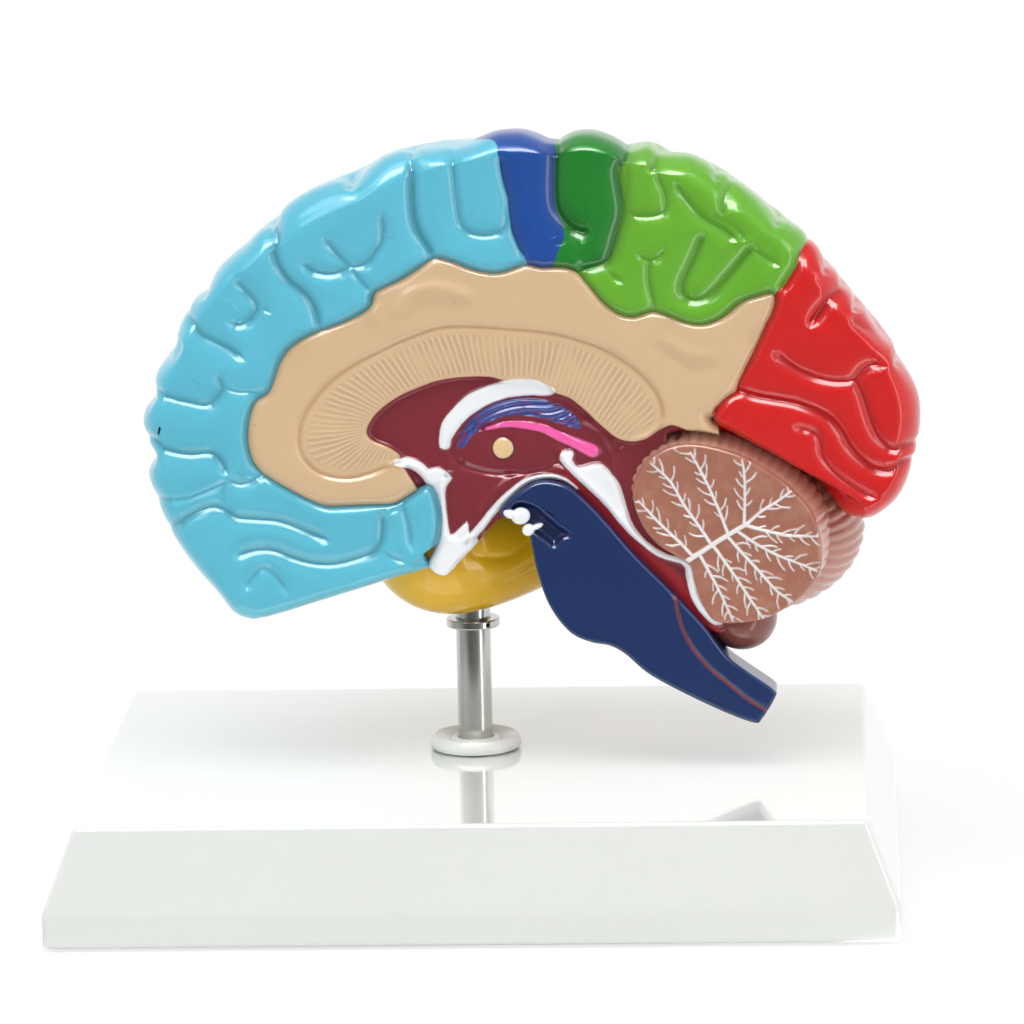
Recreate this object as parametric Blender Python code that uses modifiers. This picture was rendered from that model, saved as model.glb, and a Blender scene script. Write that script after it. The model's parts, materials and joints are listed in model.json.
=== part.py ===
"""Brain anatomy model: the right half of a brain, cut face to the front, on a rod over a desk tray.

Metres, +Z up, +X to the right, the cut face looks along -Y. The origin lies on the table, under
the middle of the whole model.
"""

import math

import bmesh
import bpy
import numpy as np

MM = 0.001

# Tray
TRAY_WIDTH = 165.0 * MM
TRAY_DEPTH = 127.0 * MM
TRAY_HEIGHT = 22.95 * MM
TRAY_SKIRT = 6.6 * MM
TRAY_SLOPE_SIDES = 6.2 * MM
TRAY_SLOPE_FRONT = 4.3 * MM
TRAY_WALL = 2.4 * MM
TRAY_EDGE_ROUND = 1.0 * MM
TRAY_LEFT_OF_MIDDLE = 2.7 * MM
RIB_THICKNESS = 1.8 * MM
RIB_HEIGHT = 6.5 * MM
BOSS_RADIUS = 7.0 * MM
BOSS_HEIGHT = 9.0 * MM

# Feet
FOOT_RADIUS = 4.5 * MM
FOOT_THICKNESS = 1.8 * MM
FOOT_PROUD = 0.6 * MM
FOOT_INSET = 2.0 * MM
FOOT_POST_WALL = 1.6 * MM

# Rod and what is on it
POST_RADIUS = 3.45 * MM
POST_LEFT_OF_TRAY_MIDDLE = 1.9 * MM
POST_BEHIND_TRAY_MIDDLE = 4.6 * MM
POST_CHAMFER = 0.5 * MM
POST_TO_COLLAR = 26.85 * MM
POST_INTO_BRAIN = 21.0 * MM
COLLAR_RADIUS = 5.35 * MM
COLLAR_HEIGHT = 1.6 * MM
ROSETTE_RADIUS = 9.25 * MM
ROSETTE_HEIGHT = 2.9 * MM
ROSETTE_LIP_RADIUS = 4.75 * MM
SCREW_RADIUS = 2.0 * MM
SCREW_INTO_POST = 12.0 * MM
SCREW_HEAD_RADIUS = 3.8 * MM
SCREW_HEAD_HEIGHT = 2.4 * MM
SCREW_KEY_RADIUS = 1.4 * MM
SCREW_KEY_DEPTH = 1.3 * MM
WASHER_RADIUS = 5.6 * MM
WASHER_THICKNESS = 1.0 * MM

# Sleeve in the brain
BUSH_WALL = 1.2 * MM
BUSH_MOUTH = 3.0 * MM
FIT_GAP = 0.3 * MM
RUNNING_GAP = 0.1 * MM

# Brain
BRAIN_SCALE = 1.0
POST_BEHIND_CUT = 20.0 * MM
RIM_DEPTH = 14.0
HEMISPHERE_DEPTH = 61.0
RIM_BULGE_TOP = 1.5
RIM_BULGE_FRONT = 3.1
RIM_BULGE_BACK = 4.5
STEM_THICKNESS = 9.0
STEM_ROUNDING = 3.5
VERMIS_THICKNESS = 9.0
VERMIS_ROUNDING = 2.0
SCULPT_GRAIN = 1.1
SULCUS_HALF_WIDTH = 1.3
GYRUS_ROUNDING = 3.6
LIMBIC_RECESS = 1.1
CALLOSUM_RECESS = 0.5
VENTRICLE_RECESS = 1.8
RECESS_SLOPE = 1.0
FOLIA_PITCH = 3.4
FOLIA_DEPTH = 0.45
CASTING_TRIANGLES = 9800
ROUND_SEGMENTS = 40
SMALL_ROUND_SEGMENTS = 24

# Derived places
TRAY_X = -TRAY_LEFT_OF_MIDDLE
POST_X = TRAY_X - POST_LEFT_OF_TRAY_MIDDLE
POST_Y = POST_BEHIND_TRAY_MIDDLE
TRAY_BOTTOM = FOOT_PROUD
TRAY_TOP = TRAY_BOTTOM + TRAY_HEIGHT
POST_FOOT = TRAY_TOP + FIT_GAP
COLLAR_TOP = TRAY_TOP + POST_TO_COLLAR
POST_TOP = COLLAR_TOP + POST_INTO_BRAIN
BUSH_RADIUS = POST_RADIUS + RUNNING_GAP + BUSH_WALL
CUT_FROM_POST = -POST_BEHIND_CUT / MM

# Outlines on the cut face, in mm right of the rod's axis and above the collar
CEREBRUM_OUTLINE = [
    (-42.0, 4.9), (-46.3, 7.2), (-50.5, 12.6), (-55.0, 19.5), (-58.8, 27.0), (-60.5, 34.0),
    (-61.3, 42.0), (-60.2, 50.0), (-57.0, 57.5), (-53.0, 65.0), (-48.0, 71.2), (-42.0, 76.3),
    (-35.0, 80.8), (-25.0, 86.0), (-15.0, 91.2), (-6.0, 95.0), (4.0, 97.2), (14.0, 98.2),
    (25.0, 98.4), (35.0, 96.0), (45.0, 91.2), (53.0, 86.0), (60.0, 81.0), (66.8, 75.0),
    (72.0, 68.5), (77.5, 62.0), (82.5, 56.0), (85.3, 49.0), (86.5, 41.0), (86.0, 34.0),
    (83.0, 28.2), (78.5, 25.0), (74.0, 25.8), (69.5, 30.0), (61.0, 36.0), (53.0, 39.6),
    (44.0, 40.0), (36.0, 32.0), (28.0, 24.0), (20.0, 22.0), (12.5, 23.5), (7.0, 24.3),
    (0.0, 18.6), (-3.0, 14.5), (-7.0, 14.2), (-13.0, 13.0), (-22.0, 10.2), (-32.0, 7.4),
]
LIMBIC_MARGIN = [
    (-8.0, 31.0), (-15.0, 27.2), (-25.0, 26.8), (-32.0, 28.7), (-39.0, 33.0), (-42.6, 38.5),
    (-42.3, 45.0), (-38.5, 49.8), (-36.0, 56.0), (-31.0, 60.9), (-23.0, 64.0), (-17.5, 67.8),
    (-12.0, 72.0), (-5.0, 76.0), (2.0, 74.2), (10.0, 73.4), (20.0, 73.2), (25.0, 70.3),
    (31.0, 64.9), (39.0, 64.7), (46.0, 62.5), (52.0, 64.3), (60.0, 68.6), (61.0, 65.0),
    (57.5, 57.0), (53.6, 49.2), (47.9, 41.2),
]
LIMBIC_OUTLINE = LIMBIC_MARGIN + [
    (38.0, 41.0), (33.0, 33.0), (36.0, 16.0), (44.0, 6.0), (30.0, 18.0), (20.0, 26.0),
    (0.0, 18.6), (-5.0, 13.3),
]
CALLOSUM_MARGIN = [
    (-12.0, 34.0), (-18.0, 33.6), (-24.0, 32.6), (-29.5, 34.3), (-32.5, 40.0), (-29.5, 48.0),
    (-21.0, 55.3), (-10.0, 60.5), (0.0, 62.6), (12.0, 61.7), (24.0, 59.2), (33.0, 54.3),
    (38.3, 48.3), (38.8, 42.3),
]
CALLOSUM_OUTLINE = CALLOSUM_MARGIN + [(30.0, 36.0), (30.0, 24.0), (0.0, 19.0), (-6.0, 26.0)]
VENTRICLE_OUTLINE = [
    (-19.0, 42.0), (-14.0, 48.0), (-5.0, 51.8), (5.0, 52.4), (17.0, 50.3), (24.0, 45.5),
    (30.0, 40.0), (36.0, 39.8), (39.0, 41.3), (34.0, 36.0), (32.0, 30.0), (22.0, 31.5),
    (15.0, 33.0), (9.0, 29.5), (1.0, 20.5), (-3.3, 21.0), (-3.5, 31.5), (-10.0, 36.5),
]
STEM_OUTLINE = [
    (6.8, 25.0), (11.0, 29.2), (16.0, 31.2), (21.0, 29.8), (27.0, 24.0), (33.5, 16.0),
    (40.0, 9.2), (46.5, 2.0), (51.0, -4.2), (60.0, -11.0), (60.2, -12.6), (57.6, -16.8),
    (56.0, -17.7), (50.0, -15.0), (42.0, -10.8), (35.0, -6.8), (30.0, -2.2), (24.0, -0.3),
    (18.8, 3.4), (15.3, 9.5), (13.2, 17.0), (12.6, 22.0),
]
VERMIS_OUTLINE = [
    (44.0, 15.0), (38.0, 17.0), (34.0, 23.0), (32.8, 29.5), (35.5, 36.5), (41.0, 40.3),
    (47.0, 40.0), (54.0, 36.4), (60.0, 33.0), (66.0, 27.5), (69.6, 20.5), (69.5, 12.5),
    (65.0, 6.8), (58.0, 3.0), (51.0, 2.5), (46.5, 6.5),
]

# Rounded masses behind the cut face: centre and half sizes in mm (right, back, up), then tilt in degrees
LOBES = {
    "temporal_pole": ((-2.0, 19.0, 16.1), (18.5, 14.0, 14.8), 0.0),
    "temporal_body": ((16.0, 34.0, 22.0), (34.0, 19.5, 15.0), 15.0),
    "temporal_root": ((46.0, 30.0, 34.0), (32.0, 20.0, 15.0), 10.0),
    "hemisphere_core": ((15.0, 24.0, 45.0), (52.0, 22.0, 28.0), 0.0),
    "cerebellar_hemisphere": ((55.5, 23.5, 17.5), (23.3, 23.0, 17.6), 0.0),
    "cerebellar_tonsil": ((54.0, 9.5, 1.9), (7.0, 8.0, 6.8), 0.0),
    "pons": ((26.5, 5.5, 9.5), (11.0, 12.0, 9.0), -35.0),
}

# Furrows seen on the cut face: depth in mm, then points in mm
FACE_SULCI = {
    "cingulate": (1.6, LIMBIC_MARGIN),
    "callosal": (1.1, CALLOSUM_MARGIN),
    "pole_upper": (1.7, [(-63.0, 40.2), (-56.0, 38.0), (-49.5, 37.6), (-46.5, 32.4), (-40.0, 33.0)]),
    "pole_lower": (1.1, [(-60.5, 28.0), (-52.0, 30.0), (-47.0, 32.5), (-47.4, 26.8)]),
    "orbital_upper": (1.4, [(-59.0, 22.5), (-53.5, 26.0), (-47.5, 26.5), (-38.0, 24.4), (-29.0, 21.0)]),
    "orbital_lower": (1.4, [(-44.5, 16.8), (-38.0, 18.3), (-27.0, 15.3), (-18.0, 17.8), (-16.3, 25.0)]),
    "orbital_loop": (0.9, [(-43.6, 8.5), (-42.0, 13.8), (-38.0, 13.8), (-35.6, 9.8)]),
    "septal": (1.0, [(-12.2, 26.6), (-11.0, 21.5), (-10.7, 18.5)]),
    "frontal_1": (1.5, [(-57.5, 49.2), (-51.0, 47.6), (-47.5, 50.6), (-39.5, 49.9)]),
    "frontal_2": (1.4, [(-56.0, 66.5), (-51.0, 61.7), (-45.0, 58.3), (-41.5, 55.7)]),
    "frontal_3": (1.3, [(-42.8, 71.0), (-40.0, 66.8), (-42.5, 63.5), (-46.0, 64.5)]),
    "frontal_4": (1.7, [(-37.5, 86.0), (-36.2, 77.5), (-31.0, 70.0), (-28.0, 63.8)]),
    "frontal_5": (1.4, [(-30.3, 75.0), (-26.0, 73.3), (-21.3, 74.7), (-17.0, 70.0)]),
    "frontal_6": (1.4, [(-25.3, 79.0), (-21.0, 74.6), (-16.5, 77.0), (-15.0, 84.0)]),
    "frontal_7": (1.8, [(-9.3, 94.0), (-8.7, 84.0), (-4.8, 76.5)]),
    "frontal_8": (1.3, [(-0.8, 94.5), (0.2, 83.5), (4.5, 80.7), (9.2, 82.5)]),
    "precentral": (1.7, [(7.5, 101.0), (8.3, 94.0), (10.0, 84.0), (13.0, 75.0)]),
    "central": (2.0, [(19.6, 103.0), (19.0, 88.0), (21.5, 82.6), (26.5, 80.6)]),
    "postcentral": (1.9, [(31.5, 99.0), (31.9, 86.0), (29.5, 76.0), (22.5, 73.5)]),
    "parietal_1": (1.4, [(33.0, 93.0), (33.4, 84.4), (40.2, 84.4), (39.2, 91.5)]),
    "parietal_2": (1.6, [(43.0, 89.5), (48.0, 83.3), (54.5, 79.0), (63.0, 73.5)]),
    "parietal_3": (1.8, [(56.5, 76.7), (50.0, 69.5), (44.5, 67.6), (45.0, 74.0), (48.5, 80.0)]),
    "parietal_4": (1.4, [(40.0, 76.8), (37.0, 74.8), (37.0, 69.0), (38.3, 65.0)]),
    "parietal_5": (1.5, [(57.5, 90.0), (53.0, 88.0), (51.2, 83.3)]),
    "parieto_occipital": (2.2, [(70.5, 80.5), (66.5, 75.0), (60.0, 62.5), (53.8, 49.8)]),
    "calcarine": (1.9, [(53.6, 49.2), (64.0, 46.8), (73.0, 42.0), (78.5, 34.5), (90.0, 34.2)]),
    "occipital_1": (1.6, [(63.0, 55.0), (70.0, 51.3), (76.5, 51.1), (82.5, 53.8)]),
    "occipital_2": (1.6, [(77.0, 51.0), (79.5, 43.0), (84.0, 37.3), (90.0, 38.0)]),
    "occipital_3": (1.4, [(66.3, 41.3), (70.0, 38.5), (72.5, 32.8), (78.0, 28.3)]),
    "occipital_4": (1.6, [(69.0, 63.3), (74.5, 68.5), (79.0, 72.5)]),
    "limbic_fold": (0.8, [(-12.0, 66.0), (-5.5, 70.0), (3.0, 67.6)]),
    "precuneal_fold": (0.7, [(38.0, 57.5), (43.5, 54.0), (49.5, 53.6)]),
}

# Furrows of the domed side, seen through the brain from the cut face
SIDE_SULCI = {
    "sylvian": (4.5, [(-27.0, 19.0), (-13.0, 29.0), (4.0, 34.5), (24.0, 42.0), (40.0, 53.0)]),
    "central": (2.6, [(19.5, 103.0), (17.0, 88.0), (19.0, 77.0), (10.0, 64.0), (4.0, 42.0)]),
    "precentral": (2.3, [(7.5, 103.0), (4.0, 88.0), (5.5, 76.0), (-3.0, 64.0), (-8.0, 40.0)]),
    "postcentral": (2.3, [(32.0, 100.0), (30.0, 86.0), (32.5, 75.0), (24.0, 62.0), (18.0, 45.0)]),
    "superior_frontal": (2.0, [(2.0, 86.0), (-14.0, 83.0), (-28.0, 74.0), (-43.0, 66.0), (-52.0, 54.0)]),
    "middle_frontal": (1.6, [(-4.0, 74.0), (-16.0, 70.0), (-30.0, 64.0), (-40.0, 52.0), (-54.0, 46.0)]),
    "inferior_frontal": (2.0, [(-6.0, 58.0), (-18.0, 57.0), (-28.0, 49.0), (-44.0, 40.0), (-60.0, 34.0)]),
    "sylvian_branch": (1.8, [(-11.0, 31.0), (-15.0, 40.0), (-13.0, 48.0)]),
    "orbital": (1.6, [(-22.0, 26.0), (-32.0, 33.0), (-44.0, 29.0), (-56.0, 22.0)]),
    "intraparietal": (2.2, [(29.0, 71.0), (42.0, 76.0), (55.0, 71.0), (66.0, 64.0)]),
    "parietal_upper": (1.6, [(42.0, 98.0), (44.0, 87.0), (54.0, 83.0), (58.0, 76.0)]),
    "supramarginal": (1.8, [(36.0, 70.0), (34.0, 60.0), (42.0, 56.0), (48.0, 62.0)]),
    "parieto_occipital": (2.0, [(71.0, 81.0), (66.0, 72.0), (70.0, 62.0)]),
    "lunate": (1.8, [(62.0, 60.0), (71.0, 54.0), (72.0, 42.0), (64.0, 34.0)]),
    "occipital": (1.7, [(70.0, 48.0), (80.0, 50.0), (92.0, 44.0)]),
    "superior_temporal": (2.3, [(-16.0, 14.0), (0.0, 20.0), (18.0, 25.0), (38.0, 34.0), (52.0, 48.0)]),
    "inferior_temporal": (1.9, [(-10.0, 5.0), (8.0, 10.0), (28.0, 17.0), (46.0, 26.0), (62.0, 34.0)]),
    "angular": (1.6, [(52.0, 48.0), (56.0, 58.0), (50.0, 66.0)]),
    "frontal_cross_1": (1.7, [(-9.5, 95.0), (-9.0, 85.5), (-15.0, 76.0), (-13.0, 70.5)]),
    "frontal_cross_2": (1.7, [(-23.5, 88.0), (-25.0, 79.0), (-21.0, 72.0)]),
    "frontal_cross_3": (1.7, [(-37.0, 82.0), (-35.0, 74.0), (-38.0, 68.5), (-33.0, 62.5)]),
    "frontal_cross_4": (1.6, [(-51.0, 71.0), (-47.0, 62.5), (-52.0, 56.0)]),
    "frontal_cross_5": (1.6, [(-16.0, 70.0), (-19.0, 62.0), (-17.5, 57.5)]),
    "frontal_cross_6": (1.6, [(-31.0, 63.5), (-33.5, 55.0), (-29.0, 50.0), (-31.5, 42.5)]),
    "frontal_cross_7": (1.6, [(-46.0, 48.5), (-49.5, 42.0), (-45.5, 38.0)]),
    "opercular": (1.5, [(-24.0, 51.0), (-24.5, 40.0), (-21.0, 30.0)]),
    "central_link": (1.5, [(11.5, 66.0), (17.5, 61.5), (14.0, 53.0), (18.5, 46.0)]),
    "parietal_cross_1": (1.7, [(42.5, 76.0), (41.0, 84.0), (44.0, 89.0)]),
    "parietal_cross_2": (1.7, [(54.0, 71.5), (58.5, 77.0), (61.0, 83.0)]),
    "parietal_cross_3": (1.5, [(29.5, 71.0), (26.5, 64.5)]),
    "temporal_cross_1": (1.4, [(2.0, 20.5), (5.0, 14.0), (2.0, 9.0)]),
    "temporal_cross_2": (1.4, [(24.0, 27.5), (28.0, 21.5), (26.0, 16.0)]),
    "temporal_cross_3": (1.4, [(44.0, 40.0), (50.0, 34.0), (48.0, 27.5)]),
    "temporal_cross_4": (1.4, [(8.0, 22.0), (12.0, 29.0), (10.0, 35.5)]),
    "occipital_cross": (1.5, [(58.0, 53.5), (66.0, 50.0), (64.0, 42.0), (56.0, 40.0)]),
}

# Paint colours with roughness and metallic
PVC_BLUE = ("pvc_light_blue", (0.16, 0.59, 0.75), 0.22, 0.0)
WHITE_PLASTIC = ("white_plastic", (0.86, 0.88, 0.87), 0.18, 0.0)
SATIN_STEEL = ("satin_steel", (0.62, 0.62, 0.60), 0.28, 1.0)
ZINC_STEEL = ("zinc_steel", (0.55, 0.55, 0.52), 0.4, 1.0)
NATURAL_NYLON = ("natural_nylon", (0.78, 0.76, 0.68), 0.45, 0.0)
BLACK_RUBBER = ("black_rubber", (0.03, 0.03, 0.03), 0.8, 0.0)


def clear_scene():
    for obj in list(bpy.data.objects):
        bpy.data.objects.remove(obj, do_unlink=True)


def new_collection(name):
    collection = bpy.data.collections.new(name)
    bpy.context.scene.collection.children.link(collection)
    return collection


def material(spec):
    """The Principled material of a (name, colour, roughness, metallic) spec, made once."""
    name, colour, roughness, metallic = spec
    found = bpy.data.materials.get(name)
    if found:
        return found
    made = bpy.data.materials.new(name)
    made.use_nodes = True
    shader = made.node_tree.nodes["Principled BSDF"]
    shader.inputs["Base Color"].default_value = (*colour, 1.0)
    shader.inputs["Roughness"].default_value = roughness
    shader.inputs["Metallic"].default_value = metallic
    return made


def object_from_bmesh(name, bm, collection, spec=None):
    mesh = bpy.data.meshes.new(name)
    bm.to_mesh(mesh)
    bm.free()
    obj = bpy.data.objects.new(name, mesh)
    collection.objects.link(obj)
    if spec:
        mesh.materials.append(material(spec))
    return obj


def bake(obj):
    """Gives the object its evaluated mesh, in its own axes, and drops its modifiers."""
    bpy.context.view_layer.update()
    graph = bpy.context.evaluated_depsgraph_get()
    old = obj.data
    obj.data = bpy.data.meshes.new_from_object(obj.evaluated_get(graph))
    obj.modifiers.clear()
    bpy.data.meshes.remove(old)


def shade_round(obj, sharp_deg=35.0):
    obj.data.shade_smooth()
    obj.data.set_sharp_from_angle(angle=math.radians(sharp_deg))


def boolean(obj, operation, tool):
    """Cuts or joins a hidden helper, which stays in its own collection."""
    tool.hide_render = True
    tool.display_type = "WIRE"
    modifier = obj.modifiers.new(f"{operation.lower()}_{tool.name}", "BOOLEAN")
    modifier.operation = operation
    modifier.solver = "EXACT"
    modifier.object = tool


def cylinder(name, radius, low, high, centre, collection, spec=None, segments=ROUND_SEGMENTS):
    """Upright cylinder between two heights about the centre (x, y)."""
    bm = bmesh.new()
    size = {"radius1": radius, "radius2": radius, "depth": high - low}
    bmesh.ops.create_cone(bm, cap_ends=True, segments=segments, **size)
    obj = object_from_bmesh(name, bm, collection, spec)
    obj.location = (*centre, (low + high) / 2)
    shade_round(obj)
    return obj


def tapered_block(name, levels, place, collection, spec=None):
    """Block with a rectangle of (height, half width, half depth) at each level, lowest first."""
    bm = bmesh.new()
    corners = ((-1, -1), (1, -1), (1, 1), (-1, 1))
    rings = [[bm.verts.new((x * wide, y * deep, z)) for x, y in corners] for z, wide, deep in levels]
    for low, high in zip(rings, rings[1:]):
        for k in range(4):
            bm.faces.new((low[k], low[(k + 1) % 4], high[(k + 1) % 4], high[k]))
    bm.faces.new(rings[-1])
    bm.faces.new(rings[0][::-1])
    block = object_from_bmesh(name, bm, collection, spec)
    block.location = place
    return block


def turned(name, profile, base, collection, spec, closed=False, segments=ROUND_SEGMENTS):
    """Piece turned about the upright axis through base, from (radius, height above base) points.

    The outer side of the profile runs down. A closed profile makes a ring.
    """
    bm = bmesh.new()
    verts = [bm.verts.new((radius, 0.0, height)) for radius, height in profile]
    for first, second in zip(verts, verts[1:] + verts[:1] if closed else verts[1:]):
        bm.edges.new((first, second))
    obj = object_from_bmesh(name, bm, collection, spec)
    obj.location = base
    screw = obj.modifiers.new("turn", "SCREW")
    screw.steps = segments
    screw.render_steps = segments
    screw.use_merge_vertices = True
    screw.merge_threshold = 0.00001
    bake(obj)
    shade_round(obj)
    return obj


def arc(centre_r, centre_z, radius, start_deg, end_deg, steps):
    """Profile points on a circular arc, with angles from the outward direction."""
    angles = np.radians(np.linspace(start_deg, end_deg, steps + 1))
    return [(centre_r + radius * math.cos(a), centre_z + radius * math.sin(a)) for a in angles]


def tray_half_sizes(height):
    """Half width and half depth of the tray's outside at a height above its lower edge."""
    share = max(0.0, (height - TRAY_SKIRT) / (TRAY_HEIGHT - TRAY_SKIRT))
    return TRAY_WIDTH / 2 - TRAY_SLOPE_SIDES * share, TRAY_DEPTH / 2 - TRAY_SLOPE_FRONT * share


def foot_places():
    """Centres (x, y) of the feet, inside the corners of the tray's top."""
    wide, deep = tray_half_sizes(TRAY_HEIGHT)
    reach = FOOT_RADIUS + FIT_GAP + FOOT_POST_WALL + FOOT_INSET
    return [(TRAY_X + x * (wide - reach), y * (deep - reach)) for y in (-1, 1) for x in (-1, 1)]


def make_tray(collection, helpers):
    """Moulded shell, open below, with a screw boss, cross ribs and a hollow post over each foot."""
    place = (TRAY_X, 0.0, TRAY_BOTTOM)
    levels = [(z, *tray_half_sizes(z)) for z in (0.0, TRAY_SKIRT, TRAY_HEIGHT)]
    tray = tapered_block("base_tray", levels, place, collection, WHITE_PLASTIC)
    edges = tray.modifiers.new("rounded_edges", "BEVEL")
    edges.width = TRAY_EDGE_ROUND
    edges.segments = 3
    edges.limit_method = "ANGLE"
    edges.angle_limit = math.radians(40)

    ceiling = TRAY_HEIGHT - TRAY_WALL
    inside = [(z, *(half - TRAY_WALL for half in tray_half_sizes(z))) for z in (0.0, TRAY_SKIRT, ceiling)]
    inside.insert(0, (-TRAY_WALL, *inside[0][1:]))
    boolean(tray, "DIFFERENCE", tapered_block("tray_hollow", inside, place, helpers))

    in_wall = TRAY_HEIGHT - TRAY_WALL / 2
    rib_levels = [(z, *tray_half_sizes(z)) for z in (TRAY_HEIGHT - RIB_HEIGHT, in_wall)]
    half_rib = RIB_THICKNESS / 2
    across = [(z, wide - TRAY_WALL / 2, half_rib) for z, wide, deep in rib_levels]
    along = [(z, half_rib, deep - TRAY_WALL / 2) for z, wide, deep in rib_levels]
    boolean(tray, "UNION", tapered_block("rib_across", across, (TRAY_X, POST_Y, TRAY_BOTTOM), helpers))
    boolean(tray, "UNION", tapered_block("rib_along", along, (POST_X, 0.0, TRAY_BOTTOM), helpers))

    boss_bottom = TRAY_TOP - BOSS_HEIGHT
    wall_middle = TRAY_BOTTOM + in_wall
    post_axis = (POST_X, POST_Y)
    boolean(tray, "UNION", cylinder("boss", BOSS_RADIUS, boss_bottom, wall_middle, post_axis, helpers))
    hole_radius = SCREW_RADIUS + FIT_GAP
    hole = cylinder("screw_hole", hole_radius, boss_bottom - MM, TRAY_TOP + MM, post_axis, helpers)
    boolean(tray, "DIFFERENCE", hole)

    recess_radius = FOOT_RADIUS + FIT_GAP
    recess_top = FOOT_THICKNESS + FIT_GAP
    for k, centre in enumerate(foot_places(), 1):
        where = (centre, helpers, None, SMALL_ROUND_SEGMENTS)
        post_radius = recess_radius + FOOT_POST_WALL
        boolean(tray, "UNION", cylinder(f"foot_post_{k}", post_radius, TRAY_BOTTOM, wall_middle, *where))
        boolean(tray, "DIFFERENCE", cylinder(f"foot_recess_{k}", recess_radius, -MM, recess_top, *where))
    return tray


def make_feet(collection):
    feet = []
    for k, place in enumerate(foot_places(), 1):
        where = (place, collection, BLACK_RUBBER, SMALL_ROUND_SEGMENTS)
        feet.append(cylinder(f"foot_pad_{k}", FOOT_RADIUS, 0.0, FOOT_THICKNESS, *where))
    return feet


def make_post(collection):
    """Steel rod with chamfered ends and a tapped hole in its foot."""
    height = POST_TOP - POST_FOOT
    hole = SCREW_RADIUS + FIT_GAP
    hole_depth = SCREW_INTO_POST + hole
    profile = [
        (0.0, height),
        (POST_RADIUS - POST_CHAMFER, height),
        (POST_RADIUS, height - POST_CHAMFER),
        (POST_RADIUS, POST_CHAMFER),
        (POST_RADIUS - POST_CHAMFER, 0.0),
        (hole, 0.0),
        (hole, hole_depth),
        (0.0, hole_depth + hole / 2),
    ]
    return turned("post", profile, (POST_X, POST_Y, POST_FOOT), collection, SATIN_STEEL)


def make_collar(collection):
    inner = POST_RADIUS + FIT_GAP
    edge = COLLAR_HEIGHT / 6
    profile = [
        (inner, COLLAR_HEIGHT),
        (COLLAR_RADIUS - edge, COLLAR_HEIGHT),
        (COLLAR_RADIUS, COLLAR_HEIGHT - edge),
        (COLLAR_RADIUS, edge),
        (COLLAR_RADIUS - edge, 0.0),
        (inner, 0.0),
    ]
    base = (POST_X, POST_Y, COLLAR_TOP - COLLAR_HEIGHT)
    return turned("collar", profile, base, collection, SATIN_STEEL, closed=True)


def make_rosette(collection):
    """Dished cover ring: a lip round the rod, a hollow and a rounded outer bead."""
    inner = POST_RADIUS + FIT_GAP
    lip = ROSETTE_LIP_RADIUS
    bead = 0.4 * ROSETTE_HEIGHT
    lip_height = 0.8 * ROSETTE_HEIGHT
    hollow_height = 0.35 * ROSETTE_HEIGHT
    bead_centre = (ROSETTE_RADIUS - bead, ROSETTE_HEIGHT - bead)
    profile = [
        (inner, lip_height),
        (lip - 0.3 * MM, lip_height),
        (lip, lip_height - 0.3 * MM),
        (lip + 0.3 * MM, hollow_height),
        ((lip + ROSETTE_RADIUS - 2 * bead) / 2, hollow_height * 0.9),
        *arc(*bead_centre, bead, 140.0, 0.0, 5),
        (ROSETTE_RADIUS - 0.2 * MM, 0.0),
        (inner, 0.0),
    ]
    base = (POST_X, POST_Y, TRAY_TOP + FIT_GAP)
    return turned("rosette", profile, base, collection, WHITE_PLASTIC, closed=True)


def make_washer(collection):
    inner = SCREW_RADIUS + FIT_GAP
    top = TRAY_TOP - BOSS_HEIGHT - FIT_GAP
    profile = [
        (inner, 0.0),
        (WASHER_RADIUS, 0.0),
        (WASHER_RADIUS, -WASHER_THICKNESS),
        (inner, -WASHER_THICKNESS),
    ]
    return turned("screw_washer", profile, (POST_X, POST_Y, top), collection, ZINC_STEEL, closed=True)


def make_screw(collection, helpers):
    """Button-head screw driven from below, through the washer and the tray into the rod."""
    head_top = TRAY_TOP - BOSS_HEIGHT - WASHER_THICKNESS - 2 * FIT_GAP
    tip = POST_FOOT + SCREW_INTO_POST - head_top
    edge = SCREW_RADIUS / 5
    profile = [
        (0.0, tip),
        (SCREW_RADIUS - edge, tip),
        (SCREW_RADIUS, tip - edge),
        (SCREW_RADIUS, 0.0),
        (SCREW_HEAD_RADIUS, 0.0),
        (SCREW_HEAD_RADIUS, -SCREW_HEAD_HEIGHT / 3),
        (SCREW_HEAD_RADIUS * 0.85, -SCREW_HEAD_HEIGHT * 0.75),
        (SCREW_HEAD_RADIUS * 0.6, -SCREW_HEAD_HEIGHT),
        (0.0, -SCREW_HEAD_HEIGHT),
    ]
    base = (POST_X, POST_Y, head_top)
    screw = turned("post_screw", profile, base, collection, ZINC_STEEL, segments=SMALL_ROUND_SEGMENTS)
    low = head_top - SCREW_HEAD_HEIGHT
    high = low + SCREW_KEY_DEPTH
    key = cylinder("hex_key", SCREW_KEY_RADIUS, low - MM, high, (POST_X, POST_Y), helpers, segments=6)
    boolean(screw, "DIFFERENCE", key)
    return screw


def make_bush(collection):
    """Sleeve, closed above, whose roof rests on the rod's end."""
    inner = POST_RADIUS + RUNNING_GAP
    roof = POST_INTO_BRAIN + FIT_GAP
    profile = [
        (0.0, roof + BUSH_WALL),
        (BUSH_RADIUS, roof + BUSH_WALL),
        (BUSH_RADIUS, BUSH_MOUTH),
        (inner, BUSH_MOUTH),
        (inner, roof),
        (0.0, roof),
    ]
    return turned("socket_bush", profile, (0.0, 0.0, 0.0), collection, NATURAL_NYLON)


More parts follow.
